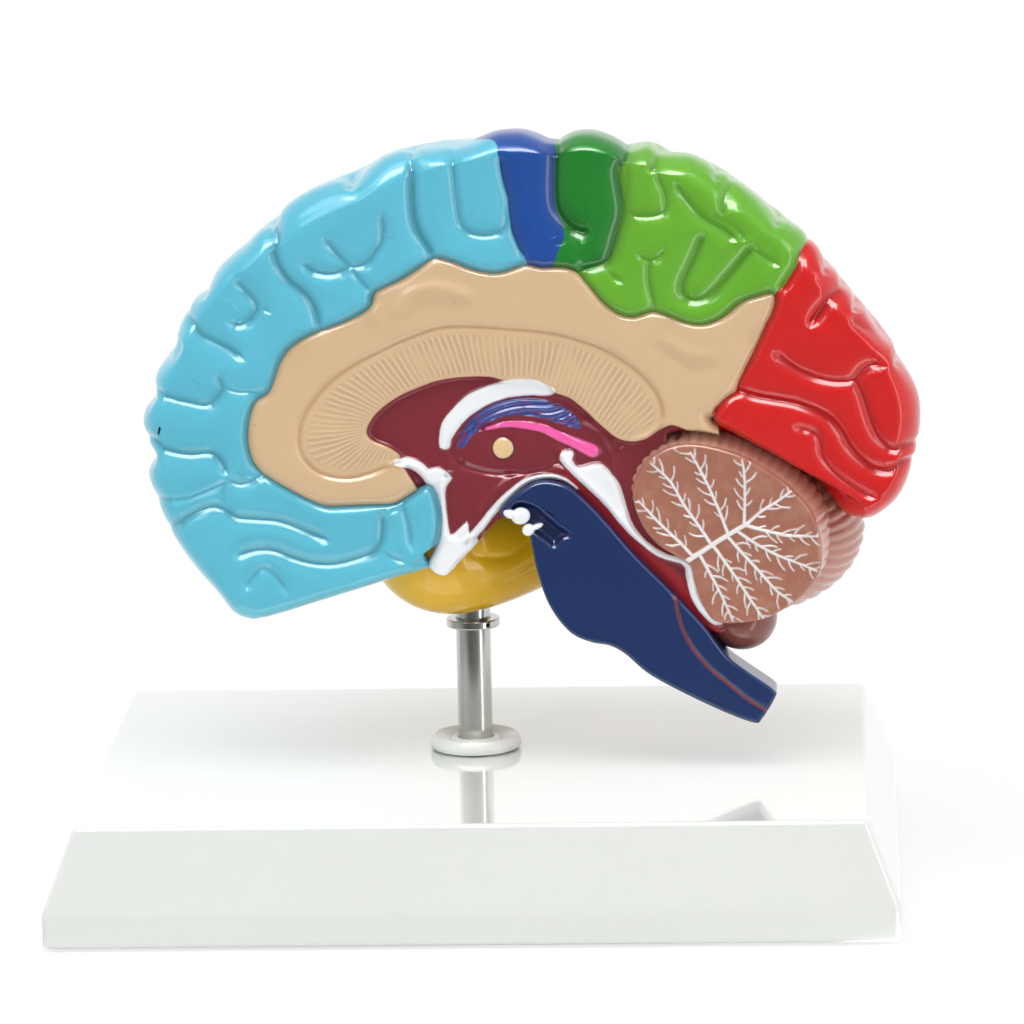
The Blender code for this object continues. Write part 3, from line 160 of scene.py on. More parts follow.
# Furrows of the cut face: depth, half width, then points
FACE_FURROWS = {
    "pole_upper": (1.7, 1.5, [
        (-66.0, 41.0), (-62.0, 40.0), (-58.0, 38.5), (-54.0, 37.8), (-50.5, 38.0), (-48.5, 37.0),
        (-47.2, 34.8), (-46.5, 32.5),
    ]),
    "pole_turn": (1.5, 1.4, [(-47.2, 34.0), (-46.5, 32.5), (-44.0, 31.7), (-41.5, 32.5), (-38.5, 34.0)]),
    "pole_lower": (1.2, 1.5, [
        (-64.0, 27.5), (-58.5, 28.5), (-54.5, 29.0), (-50.5, 30.5), (-48.0, 31.5), (-45.5, 32.5),
    ]),
    "pole_link": (1.1, 1.3, [(-47.3, 33.5), (-47.6, 29.5), (-47.0, 25.5)]),
    "orbital_upper": (1.7, 1.6, [
        (-60.0, 21.5), (-56.5, 24.0), (-53.5, 26.0), (-50.0, 27.2), (-47.5, 26.5), (-45.0, 25.0),
        (-41.0, 24.6), (-37.0, 24.2), (-33.0, 22.8), (-29.0, 21.0), (-26.0, 19.6),
    ]),
    "orbital_lower": (1.7, 1.6, [
        (-46.5, 16.8), (-43.0, 18.0), (-40.0, 18.5), (-37.0, 18.0), (-34.0, 16.7), (-30.0, 15.6),
        (-26.0, 15.4), (-22.0, 16.3), (-18.5, 17.6), (-17.0, 19.5), (-16.5, 22.0), (-16.2, 26.5),
    ]),
    "orbital_loop": (1.2, 1.3, [
        (-44.5, 9.5), (-43.0, 12.0), (-41.5, 14.0), (-39.8, 14.7), (-38.0, 13.5), (-36.5, 11.5), (-35.0, 8.8),
    ]),
    "orbital_tail": (1.2, 1.3, [(-18.5, 18.3), (-17.0, 18.2), (-14.5, 16.5), (-11.0, 15.2)]),
    "septal": (1.4, 1.2, [(-12.6, 28.5), (-11.5, 24.0), (-11.0, 21.0), (-10.7, 17.0)]),
    "septal_roof": (0.9, 1.2, [(-16.5, 24.0), (-13.5, 26.0), (-10.5, 24.5), (-8.8, 21.0)]),
    "frontal_1": (1.6, 1.5, [
        (-62.5, 50.5), (-57.0, 49.0), (-54.0, 48.2), (-50.5, 47.6), (-48.3, 49.0), (-47.3, 51.3),
        (-48.8, 54.5),
    ]),
    "frontal_1_tail": (1.3, 1.4, [(-49.0, 50.5), (-47.0, 51.0), (-44.5, 50.2), (-41.0, 50.0), (-37.5, 49.6)]),
    "frontal_2": (1.7, 1.4, [
        (-57.5, 68.5), (-53.7, 64.5), (-51.0, 61.7), (-48.0, 60.0), (-45.0, 58.3), (-42.0, 56.0),
    ]),
    "frontal_2_rim": (1.1, 1.6, [(-63.0, 56.5), (-60.0, 55.5), (-57.0, 57.5), (-55.0, 61.0)]),
    "frontal_3": (1.6, 1.4, [
        (-44.5, 73.5), (-42.8, 71.0), (-41.0, 69.0), (-40.0, 67.2), (-40.5, 65.5), (-42.0, 64.0),
        (-44.0, 63.4), (-46.3, 64.3),
    ]),
    "frontal_3_fork": (1.2, 1.3, [(-41.0, 66.8), (-38.5, 66.4), (-36.0, 65.3)]),
    "frontal_4": (2.0, 1.5, [
        (-37.2, 86.0), (-36.3, 81.0), (-36.3, 78.0), (-35.5, 75.0), (-33.5, 72.0), (-31.0, 70.0),
        (-29.2, 67.5), (-28.2, 65.0), (-27.6, 61.5),
    ]),
    "frontal_5": (1.7, 1.4, [
        (-32.0, 76.0), (-30.3, 75.0), (-28.5, 73.8), (-26.0, 73.3), (-23.5, 73.7), (-20.0, 75.4),
    ]),
    "frontal_6": (1.6, 1.4, [
        (-26.8, 81.5), (-25.3, 79.0), (-23.3, 76.5), (-21.5, 74.8), (-19.8, 74.8), (-18.0, 75.5),
        (-16.5, 77.5), (-15.2, 79.5), (-14.8, 82.5), (-15.2, 86.0),
    ]),
    "frontal_6_fork": (1.2, 1.2, [(-16.5, 79.8), (-14.0, 80.0), (-11.5, 80.2)]),
    "frontal_6_foot": (1.5, 1.2, [(-21.6, 76.0), (-21.0, 74.0), (-20.0, 72.5), (-18.5, 70.8), (-16.5, 69.0)]),
    "frontal_7": (2.2, 1.5, [
        (-9.6, 97.0), (-9.0, 91.5), (-9.0, 88.0), (-8.7, 84.0), (-7.8, 81.0), (-6.2, 78.5), (-4.6, 75.5),
    ]),
    "frontal_8": (1.6, 1.6, [
        (-1.2, 98.0), (-0.6, 90.0), (-0.2, 86.0), (0.3, 83.0), (1.5, 81.5), (4.0, 80.6), (7.0, 80.8),
        (8.8, 82.0), (9.5, 84.5), (9.3, 88.5),
    ]),
    "motor_front": (1.6, 1.8, [
        (8.2, 97.0), (8.8, 91.0), (9.6, 88.0), (9.9, 84.0), (10.4, 81.0), (11.5, 78.0), (13.0, 74.5),
    ]),
    "central": (2.3, 2.1, [
        (19.6, 104.0), (19.2, 97.0), (19.0, 93.0), (18.9, 89.0), (19.2, 86.0), (20.7, 83.2), (23.0, 81.4),
        (26.5, 80.4),
    ]),
    "central_crease": (1.1, 0.8, [(16.2, 79.0), (18.5, 80.2), (21.0, 81.4), (20.3, 78.8), (16.8, 79.0)]),
    "sensory_back": (2.1, 2.0, [
        (34.6, 101.0), (33.4, 96.5), (31.4, 93.2), (31.7, 89.0), (32.1, 86.0), (31.9, 83.5), (31.0, 81.0),
        (30.0, 77.5), (28.6, 75.0), (26.0, 74.0), (22.0, 73.2),
    ]),
    "rim_1": (1.8, 1.5, [(42.0, 100.5), (40.0, 96.8), (38.5, 93.5), (36.0, 92.8)]),
    "rim_2": (1.6, 1.5, [(57.0, 93.5), (53.5, 90.0), (52.5, 87.5), (51.5, 85.0), (51.2, 82.3)]),
    "parietal_1": (1.5, 1.3, [
        (33.6, 96.0), (33.2, 91.0), (33.2, 87.0), (33.3, 84.6), (35.3, 84.0), (38.0, 84.0), (40.4, 85.0),
        (40.4, 88.0), (39.3, 91.0), (39.0, 93.5),
    ]),
    "parietal_2": (1.6, 1.4, [
        (42.0, 91.5), (43.5, 88.5), (45.0, 86.5), (47.0, 84.0), (49.5, 82.3), (52.0, 80.8), (55.0, 78.0),
    ]),
    "parietal_2_upper": (1.3, 1.2, [(47.5, 84.5), (51.0, 83.2), (53.0, 82.0), (55.0, 80.2), (56.5, 77.5)]),
    "parietal_3": (1.9, 1.5, [
        (48.5, 81.0), (47.0, 78.5), (45.5, 75.0), (43.8, 71.5), (43.3, 69.0), (44.5, 67.5), (46.5, 67.2),
        (49.0, 68.4), (52.0, 71.5), (55.0, 75.0), (58.0, 78.5),
    ]),
    "parietal_4": (1.4, 1.3, [(33.8, 76.8), (35.3, 75.9), (37.0, 75.2), (38.8, 75.7), (41.0, 78.0)]),
    "parietal_4_foot": (1.5, 1.3, [(37.3, 77.0), (36.9, 72.0), (37.2, 69.0), (37.8, 66.8), (38.3, 63.5)]),
    "parietal_5": (1.3, 1.2, [(26.8, 73.8), (28.7, 73.4), (30.3, 71.8), (33.0, 70.2)]),
    "parietal_6": (1.3, 1.3, [(56.0, 78.3), (57.5, 77.0), (60.0, 75.3), (63.5, 73.0)]),
    "parieto_occipital": (1.9, 1.3, [(70.5, 80.5), (66.7, 75.2), (64.0, 71.0), (61.6, 67.6)]),
    "calcarine": (1.9, 1.4, [
        (51.5, 49.6), (54.5, 49.0), (57.5, 48.0), (61.0, 47.3), (65.0, 46.5), (69.0, 45.0), (72.0, 43.2),
        (74.3, 40.3), (76.0, 37.2), (78.5, 34.5), (81.0, 33.1), (84.0, 32.9), (90.0, 34.6),
    ]),
    "occipital_1": (1.7, 1.4, [
        (60.5, 57.0), (63.0, 55.0), (66.0, 53.0), (70.0, 51.3), (74.0, 50.7), (76.8, 51.2), (78.5, 53.0),
        (80.3, 54.0), (83.5, 53.4),
    ]),
    "occipital_2": (1.8, 1.5, [
        (76.6, 53.0), (77.2, 50.5), (78.3, 48.0), (79.3, 44.5), (80.5, 41.0), (82.0, 38.5), (84.5, 37.0),
        (91.0, 37.6),
    ]),
    "occipital_3": (1.5, 1.3, [
        (64.0, 42.0), (66.3, 41.3), (68.8, 40.5), (70.0, 38.5), (70.3, 36.0), (72.0, 33.3), (74.5, 31.0),
        (78.0, 28.6), (82.0, 26.8),
    ]),
    "occipital_4": (2.0, 1.5, [(67.8, 61.0), (69.3, 63.5), (71.5, 66.3), (73.8, 68.0), (78.0, 70.5)]),
    "occipital_5": (1.6, 1.4, [(76.0, 63.8), (78.3, 62.3), (81.0, 60.5), (86.0, 56.5)]),
}

# Creases of the rim between its lumps, from the face's edge outwards
RIM_CREASES = [
    [(-58.6, 37.9), (-61.5, 36.8), (-67.0, 35.6)], [(-58.6, 48.9), (-62.0, 48.4), (-68.0, 47.6)],
    [(-56.0, 55.8), (-59.0, 57.2), (-64.0, 59.6)], [(-49.4, 67.6), (-51.6, 70.0), (-56.0, 74.4)],
    [(-36.2, 78.5), (-37.6, 83.0), (-40.0, 88.0)], [(-20.4, 87.6), (-21.6, 91.2), (-23.0, 97.0)],
    [(-9.0, 92.0), (-9.3, 97.0), (-10.0, 102.0)], [(49.0, 87.5), (50.6, 91.0), (53.0, 96.0)],
    [(60.2, 79.5), (62.8, 82.4), (67.0, 87.0)], [(69.6, 69.8), (72.4, 73.0), (77.0, 78.0)],
    [(75.6, 63.6), (79.0, 65.4), (84.0, 68.6)], [(83.4, 52.8), (87.0, 54.0), (93.0, 56.0)],
]

# Folds of the tan band
LIMBIC_FOLDS = {
    "cingulate_fold": (-0.9, 1.5, [
        (-13.6, 64.5), (-12.0, 66.3), (-10.5, 68.3), (-7.5, 69.8), (-4.0, 70.0), (-1.0, 69.2), (3.0, 67.8),
    ]),
    "cingulate_under": (0.7, 1.5, [(-13.0, 63.0), (-9.5, 65.6), (-6.0, 67.2), (-1.0, 66.8)]),
    "cingulate_step": (-0.7, 1.1, [(-16.3, 62.8), (-17.0, 65.0), (-15.5, 67.6)]),
    "precuneal_fold": (0.9, 1.4, [
        (36.5, 58.0), (38.5, 57.4), (41.0, 56.0), (43.5, 54.0), (46.0, 53.3), (51.5, 53.8),
    ]),
    "precuneal_lip": (-0.6, 1.2, [(38.0, 60.0), (41.5, 58.4), (44.5, 56.6), (50.0, 56.0)]),
    "isthmus_fold": (0.6, 1.1, [(58.6, 62.8), (56.8, 59.5), (56.8, 56.5)]),
}
TAN_PITS = [
    (-5.0, 76.7, 0.35), (0.4, 60.3, 0.18), (2.6, 60.5, 0.16), (5.2, 60.2, 0.18), (8.6, 60.4, 0.16),
    (47.5, 70.6, 0.2),
]

# Furrows of the domed side, seen through the brain from the cut face
SIDE_FURROWS = {
    "sylvian": (3.2, 1.8, [(-27.0, 19.0), (-13.0, 29.0), (4.0, 34.5), (24.0, 42.0), (40.0, 53.0)]),
    "central": (2.6, 1.5, [(19.5, 103.0), (17.0, 88.0), (19.0, 77.0), (10.0, 64.0), (4.0, 42.0)]),
    "precentral": (2.3, 1.5, [(7.5, 103.0), (4.0, 88.0), (5.5, 76.0), (-3.0, 64.0), (-8.0, 40.0)]),
    "postcentral": (2.3, 1.5, [(32.0, 100.0), (30.0, 86.0), (32.5, 75.0), (24.0, 62.0), (18.0, 45.0)]),
    "superior_frontal": (2.0, 1.4, [(2.0, 86.0), (-14.0, 83.0), (-28.0, 74.0), (-43.0, 66.0), (-52.0, 54.0)]),
    "middle_frontal": (1.6, 1.3, [(-4.0, 74.0), (-16.0, 70.0), (-30.0, 64.0), (-40.0, 52.0), (-54.0, 46.0)]),
    "inferior_frontal": (2.0, 1.4, [
        (-6.0, 58.0), (-18.0, 57.0), (-28.0, 49.0), (-44.0, 40.0), (-60.0, 34.0),
    ]),
    "sylvian_branch": (1.8, 1.3, [(-11.0, 31.0), (-15.0, 40.0), (-13.0, 48.0)]),
    "orbital": (1.6, 1.4, [(-22.0, 26.0), (-32.0, 33.0), (-44.0, 29.0), (-56.0, 22.0)]),
    "intraparietal": (2.2, 1.5, [(29.0, 71.0), (42.0, 76.0), (55.0, 71.0), (66.0, 64.0)]),
    "parietal_upper": (1.6, 1.3, [(42.0, 98.0), (44.0, 87.0), (54.0, 83.0), (58.0, 76.0)]),
    "supramarginal": (1.8, 1.4, [(36.0, 70.0), (34.0, 60.0), (42.0, 56.0), (48.0, 62.0)]),
    "parieto_occipital": (2.0, 1.4, [(71.0, 81.0), (66.0, 72.0), (70.0, 62.0)]),
    "lunate": (1.8, 1.4, [(62.0, 60.0), (71.0, 54.0), (72.0, 42.0), (64.0, 34.0)]),
    "occipital": (1.7, 1.4, [(70.0, 48.0), (80.0, 50.0), (92.0, 44.0)]),
    "superior_temporal": (2.3, 1.5, [(-16.0, 14.0), (0.0, 20.0), (18.0, 25.0), (38.0, 34.0), (52.0, 48.0)]),
    "inferior_temporal": (1.9, 1.4, [(-10.0, 5.0), (8.0, 10.0), (28.0, 17.0), (46.0, 26.0), (62.0, 34.0)]),
    "angular": (1.6, 1.3, [(52.0, 48.0), (56.0, 58.0), (50.0, 66.0)]),
    "frontal_cross_1": (1.7, 1.3, [(-9.5, 95.0), (-9.0, 85.5), (-15.0, 76.0), (-13.0, 70.5)]),
    "frontal_cross_2": (1.7, 1.3, [(-23.5, 88.0), (-25.0, 79.0), (-21.0, 72.0)]),
    "frontal_cross_3": (1.7, 1.3, [(-37.0, 82.0), (-35.0, 74.0), (-38.0, 68.5), (-33.0, 62.5)]),
    "frontal_cross_4": (1.6, 1.3, [(-51.0, 71.0), (-47.0, 62.5), (-52.0, 56.0)]),
    "frontal_cross_5": (1.6, 1.3, [(-16.0, 70.0), (-19.0, 62.0), (-17.5, 57.5)]),
    "frontal_cross_6": (1.6, 1.3, [(-31.0, 63.5), (-33.5, 55.0), (-29.0, 50.0), (-31.5, 42.5)]),
    "frontal_cross_7": (1.6, 1.3, [(-46.0, 48.5), (-49.5, 42.0), (-45.5, 38.0)]),
    "opercular": (1.5, 1.3, [(-24.0, 51.0), (-24.5, 40.0), (-21.0, 30.0)]),
    "parietal_cross_1": (1.7, 1.3, [(42.5, 76.0), (41.0, 84.0), (44.0, 89.0)]),
    "parietal_cross_2": (1.7, 1.3, [(54.0, 71.5), (58.5, 77.0), (61.0, 83.0)]),
    "parietal_cross_3": (1.5, 1.2, [(29.5, 71.0), (26.5, 64.5)]),
    "temporal_cross_1": (1.4, 1.2, [(2.0, 20.5), (5.0, 14.0), (2.0, 9.0)]),
    "temporal_cross_2": (1.4, 1.2, [(24.0, 27.5), (28.0, 21.5), (26.0, 16.0)]),
    "temporal_cross_3": (1.4, 1.2, [(44.0, 40.0), (50.0, 34.0), (48.0, 27.5)]),
    "temporal_cross_4": (1.4, 1.2, [(8.0, 22.0), (12.0, 29.0), (10.0, 35.5)]),
    "occipital_cross": (1.5, 1.2, [(58.0, 53.5), (66.0, 50.0), (64.0, 42.0), (56.0, 40.0)]),
}

# Paint borders that run over the top, as right against up: on the cut face, then on the domed side
PAINT_BORDERS = {
    "motor": (
        [
            (72.0, 13.6), (75.5, 13.0), (78.0, 11.5), (81.0, 10.3), (84.0, 9.9), (88.0, 9.6), (91.0, 8.8),
            (94.0, 8.2), (97.0, 7.9), (100.0, 7.6),
        ],
        [(40.0, -8.0), (64.0, -3.0), (76.0, 5.5), (88.0, 4.0), (97.0, 3.2), (104.0, 3.2)],
    ),
    "sensory": (
        [
            (72.0, 17.6), (74.3, 18.3), (75.5, 18.7), (77.0, 19.3), (80.0, 20.6), (82.0, 20.4), (83.5, 19.8),
            (86.0, 19.0), (89.0, 18.8), (93.0, 19.0), (97.0, 19.3), (100.3, 18.0),
        ],
        [(42.0, 4.0), (64.0, 10.0), (77.0, 19.0), (88.0, 17.0), (98.0, 18.6), (104.0, 17.0)],
    ),
    "parietal": (
        [
            (72.5, 20.5), (73.0, 23.0), (74.0, 26.0), (75.2, 29.0), (76.5, 29.7), (78.5, 30.3), (81.0, 31.0),
            (83.5, 31.9), (86.0, 32.1), (89.0, 31.8), (92.0, 31.3), (93.5, 31.2), (95.5, 33.3), (98.0, 33.9),
        ],
        [(45.0, 18.0), (62.0, 24.0), (75.0, 32.5), (86.0, 30.0), (96.0, 33.5), (104.0, 34.0)],
    ),
    "occipital": (
        [
            (30.0, 30.0), (42.5, 36.0), (44.5, 46.0), (50.0, 51.0), (57.0, 55.0), (62.5, 58.0), (68.3, 61.6),
            (70.0, 63.4), (75.0, 66.7), (79.0, 68.2),
        ],
        [
            (30.0, 30.0), (42.0, 34.0), (47.0, 58.0), (54.0, 62.0), (62.0, 66.0), (72.0, 66.5), (79.0, 69.0),
            (84.0, 70.0),
        ],
    ),
}
PAINT_CHIP = [(-60.2, 41.9), (-59.8, 43.0)]
TEMPORAL_ZONE = [
    (-24.0, 17.0), (-13.0, 28.0), (4.0, 33.5), (24.0, 41.0), (40.0, 52.0), (52.0, 47.0), (62.0, 36.0),
    (72.0, 28.0), (60.0, 10.0), (0.0, -5.0), (-24.0, 0.0),
]

# Path of the temporal lobe's middle, as (right, back, up), and its folds beside the stem
TEMPORAL_AXIS = [
    (-20.3, 19.0, 16.4), (-2.0, 19.5, 16.1), (16.0, 31.5, 21.0), (46.0, 31.0, 33.5), (77.0, 30.0, 40.0),
]
TEMPORAL_FOLDS = {
    "crease": (1.3, 1.1, [
        (0.6, 20.0), (0.9, 17.0), (1.8, 15.2), (4.5, 14.2), (8.0, 14.0), (12.0, 15.8), (16.0, 18.0),
    ]),
    "lower_crease": (0.8, 1.0, [(4.5, 8.2), (8.0, 9.6), (11.5, 11.6), (15.0, 14.5)]),
}

# Folds of the maroon ventricle
VENTRICLE_FOLDS = {
    "pineal_fold": (0.7, 0.9, [
        (20.5, 42.8), (23.5, 41.6), (25.8, 40.2), (27.4, 37.6), (28.6, 35.4), (31.0, 34.0),
    ]),
    "pineal_ridge": (-0.6, 0.8, [(22.0, 44.2), (25.0, 43.2), (27.4, 41.6), (28.8, 38.8), (30.4, 36.6)]),
    "habenular_ridge": (-0.4, 0.8, [(17.0, 38.4), (18.6, 37.2), (19.2, 36.0)]),
    "subthalamic": (0.5, 1.4, [(-3.0, 36.0), (1.0, 33.6), (6.0, 32.8), (12.0, 33.6), (17.0, 35.0)]),
    "floor_ridge": (-0.4, 0.9, [
        (1.5, 24.0), (4.5, 28.0), (8.5, 31.4), (12.5, 33.6), (16.5, 34.0), (20.0, 32.6),
    ]),
}

# Shapes painted inside the tan band
CALLOSUM_EDGE = [
    (-8.0, 33.7), (-14.0, 35.0), (-18.0, 33.6), (-22.0, 32.6), (-26.0, 32.8), (-29.5, 34.3), (-31.8, 37.0),
    (-32.5, 40.0), (-31.8, 44.0), (-29.5, 48.0), (-26.0, 51.8), (-21.0, 55.3), (-16.0, 57.8), (-10.0, 60.5),
    (-5.0, 62.2), (0.0, 62.6), (6.0, 62.2), (12.0, 61.7), (18.0, 60.9), (24.0, 59.2), (29.0, 57.0),
    (33.0, 54.3), (36.0, 51.5), (38.3, 48.3), (39.2, 45.0), (38.8, 42.3), (37.2, 40.8),
]
# Ribs of the callosum: where they start on its outer edge and where they end on the ventricle's roof
RIB_STARTS = [
    (-12.0, 34.4), (-18.0, 33.2), (-24.0, 32.4), (-30.0, 34.4), (-32.7, 40.0), (-29.5, 48.0), (-21.0, 55.3),
    (-10.0, 60.5), (0.0, 62.6), (12.0, 61.7), (24.0, 59.2), (33.0, 54.3), (38.4, 48.4), (39.4, 43.5),
    (38.0, 39.0),
]
RIB_ENDS = [
    (-12.8, 36.6), (-15.0, 38.6), (-17.0, 39.8), (-18.6, 40.8), (-19.3, 41.9), (-18.2, 44.0), (-14.0, 48.0),
    (-6.0, 51.5), (2.0, 52.6), (12.0, 51.8), (20.0, 48.5), (26.0, 43.5), (30.5, 40.0), (34.0, 39.2),
    (37.0, 38.0),
]
VENTRICLE_ROOF = [
    (-14.0, 35.2), (-12.6, 36.8), (-15.0, 38.7), (-18.0, 40.0), (-19.2, 41.8), (-17.5, 45.0), (-14.0, 48.0),
    (-10.0, 50.0), (-5.0, 51.8), (0.0, 52.5), (5.0, 52.5), (9.0, 51.7), (14.0, 51.8), (17.0, 50.3),
    (18.0, 49.2), (21.0, 48.0), (24.0, 45.5), (27.0, 42.5), (30.0, 40.0), (33.0, 39.2), (36.0, 39.8),
    (38.4, 41.4), (41.0, 42.4), (44.0, 41.2),
]
VENTRICLE_FLOOR = [
    (56.0, 36.0), (57.0, -6.0), (36.0, 1.0), (20.0, 20.0), (7.0, 22.0), (2.2, 18.0), (-3.0, 12.0),
    (-8.0, 12.0), (-9.0, 18.0), (-9.0, 29.5), (-12.0, 34.6),
]
FORNIX = [
    (-4.8, 38.5), (-4.8, 41.0), (-4.2, 43.5), (-2.0, 46.3), (1.0, 49.0), (5.0, 50.8), (9.0, 51.8),
    (14.0, 51.8), (17.0, 50.4), (18.3, 49.3), (16.5, 48.6), (13.0, 48.7), (9.0, 48.3), (5.0, 47.0),
    (1.0, 44.5), (-1.3, 42.0), (-2.5, 40.0), (-3.1, 38.2),
]
CHOROID_PLEXUS = [
    (-1.4, 38.8), (0.2, 42.6), (3.2, 45.6), (7.5, 47.6), (13.0, 48.2), (18.5, 47.0), (22.0, 44.6),
    (22.9, 41.9), (19.8, 42.6), (15.0, 44.2), (9.0, 44.7), (4.6, 43.2), (1.6, 40.6), (-0.4, 38.3),
]
PINK_STRIA = [(4.4, 42.2), (9.0, 43.0), (15.0, 42.2), (19.0, 40.3), (23.0, 38.5), (25.2, 37.5)]
STRIA_HALF_WIDTHS = [0.35, 0.6, 0.75, 0.85, 1.0, 1.35]
CREAM_DOT = ((7.6, 38.2), 2.0)
THALAMUS = ((9.0, 38.0), (11.5, 5.0))
LAMINA = [
    (-14.0, 35.2), (-12.0, 36.6), (-9.0, 35.8), (-7.0, 34.2), (-6.0, 34.4), (-5.0, 34.4), (-3.6, 33.6),
    (-2.6, 32.3), (-3.5, 31.0), (-4.0, 29.5), (-3.8, 25.0), (-3.2, 21.0), (-2.3, 21.3), (0.2, 23.4),
    (0.6, 21.0), (2.2, 20.2), (2.0, 18.6), (0.0, 16.9), (-2.3, 14.6), (-3.4, 12.3), (-5.2, 12.2),
    (-7.4, 13.4), (-8.2, 15.5), (-7.2, 17.5), (-6.4, 20.0), (-6.0, 23.0), (-6.0, 26.0), (-6.9, 29.5),
    (-8.4, 32.4), (-10.5, 34.2),
]
TECTUM = [
    (18.7, 35.7), (19.5, 37.3), (21.0, 37.6), (21.5, 37.0), (21.2, 35.6), (22.4, 34.2), (25.0, 34.8),
    (27.0, 34.8), (28.5, 33.3), (30.5, 30.5), (31.5, 27.0), (33.0, 22.5), (35.5, 19.3), (39.0, 16.8),
    (43.0, 15.6), (45.0, 14.4), (45.6, 11.0), (46.4, 7.6), (49.0, 4.2), (50.5, 2.6), (48.6, 2.2),
    (46.0, 4.6), (44.1, 8.0), (43.2, 12.0), (42.6, 14.4), (38.0, 16.0), (34.0, 19.0), (31.0, 22.0),
    (27.0, 27.0), (22.0, 32.0),
]
STEM_WHITE_LINE = [
    (0.6, 19.9), (3.0, 22.6), (5.4, 25.6), (8.3, 28.6), (12.0, 31.5), (16.0, 32.5), (19.5, 31.8),
    (22.0, 30.0),
]
RED_BAND = [
    (8.5, 31.6), (12.0, 34.0), (16.0, 34.8), (19.5, 33.6), (24.0, 29.4), (29.0, 24.2), (34.0, 18.4),
    (38.5, 13.6), (42.5, 9.4), (46.5, 3.6), (50.0, -1.0),
]

# Brainstem, cerebellum and what is painted on them
STEM_EDGE = [
    (6.9, 24.8), (8.4, 27.0), (11.0, 29.4), (14.0, 31.0), (17.0, 31.2), (20.5, 30.0), (24.0, 27.0),
    (28.0, 22.6), (33.5, 16.0), (40.0, 9.2), (46.5, 2.0), (51.0, -4.2), (55.0, -7.4), (60.2, -11.2),
    (60.4, -12.8), (57.8, -17.0), (56.2, -17.8), (50.0, -15.4), (42.0, -11.4), (35.5, -7.6), (31.0, -3.6),
    (28.0, -1.9), (24.5, -1.2), (21.0, 0.3), (18.4, 2.9), (16.3, 6.2), (15.0, 9.4), (13.8, 13.6),
    (13.2, 17.0), (12.6, 20.6), (12.4, 22.6), (9.8, 23.4),
]
STEM_AXIS = [(13.5, 26.5), (18.0, 24.0), (24.0, 15.0), (30.0, 7.0), (38.0, 0.5), (46.0, -6.0), (56.0, -12.8)]
STEM_VEIN = [
    (41.0, 8.2), (41.3, 6.0), (41.8, 3.6), (43.0, 0.0), (45.0, -3.5), (48.0, -7.0), (51.5, -10.0),
    (55.0, -12.9), (58.6, -15.2),
]
STEM_DISH = [
    (8.9, 26.4), (11.0, 27.4), (13.6, 26.6), (15.6, 25.2), (17.2, 23.4), (20.8, 20.6), (19.2, 19.7),
    (17.4, 18.0), (15.6, 19.4), (14.0, 20.4), (12.4, 22.6), (9.0, 23.8),
]
MAMMILLARY_KNOBS = [
    ((10.9, 24.5), (1.9, 1.7), 0.2), ((8.9, 24.9), (1.5, 0.9), -0.35), ((12.4, 21.7), (1.3, 1.2), 0.5),
    ((13.9, 22.3), (1.5, 0.55), 0.35),
]
DISC_CENTRE = (52.5, 20.5)
DISC_EDGE = [
    (44.0, 14.2), (41.0, 16.2), (38.0, 18.2), (35.2, 21.6), (33.4, 26.0), (33.2, 30.0), (35.0, 34.0),
    (38.5, 37.0), (43.0, 38.4), (48.0, 38.0), (54.0, 36.2), (58.0, 34.0), (62.0, 31.3), (65.0, 28.5),
    (67.5, 25.5), (69.0, 22.5), (69.8, 19.0), (70.0, 16.0), (69.5, 12.5), (67.5, 9.3), (65.0, 6.8),
    (61.0, 4.3), (58.0, 3.0), (52.0, 2.3), (48.6, 3.0), (46.4, 6.2), (45.0, 10.4),
]
# Swell of the ridged rim behind the disc's edge: angle in radians round its centre, mm
DISC_SWELL = [(-0.9, 0.0), (-0.3, 1.6), (0.3, 2.8), (1.0, 2.9), (1.9, 2.2), (2.6, 1.5), (3.0, 0.0)]
TREE_TRUNK = [(43.2, 14.9), (48.0, 18.0), (52.0, 20.5), (55.5, 22.5)]
TREE_BRANCHES = [
    [(44.5, 16.2), (42.0, 19.0), (38.0, 23.0), (34.2, 27.3)],
    [(48.3, 18.3), (46.0, 22.0), (43.0, 26.5), (40.5, 31.0), (36.8, 34.7)],
    [(51.5, 20.8), (50.0, 25.0), (47.5, 31.0), (44.5, 36.8)],
    [(54.8, 22.5), (55.0, 27.0), (55.0, 32.0), (54.6, 35.0)],
    [(55.5, 22.5), (58.0, 24.8), (61.5, 27.0), (64.5, 29.2)],
    [(55.5, 22.0), (59.0, 21.0), (63.5, 20.0), (69.3, 19.8)],
    [(53.5, 21.0), (57.0, 18.5), (61.5, 16.0), (66.0, 14.2), (69.0, 12.8)],
    [(51.5, 20.0), (54.0, 17.0), (57.5, 13.0), (61.0, 9.0), (64.0, 6.8)],
    [(48.5, 18.3), (50.5, 15.5), (53.5, 11.0), (56.0, 7.0), (58.3, 3.4)],
    [(46.0, 16.3), (48.0, 12.5), (50.0, 8.5), (51.5, 5.0), (52.3, 3.0)],
]


def srgb(red, green, blue):
    """Linear colour of an 8-bit screen colour."""
    return tuple(((value / 255 + 0.055) / 1.055) ** 2.4 for value in (red, green, blue))


def colour(name, red, green, blue):
    return FloatVectorProperty(
        name=name, description=f"Colour of the {name.lower()}", subtype="COLOR", size=3, min=0.0, max=1.0,
        default=srgb(red, green, blue),
    )


def amount(name, description, default, **limits):
    return FloatProperty(name=name, description=description, default=default, **limits)


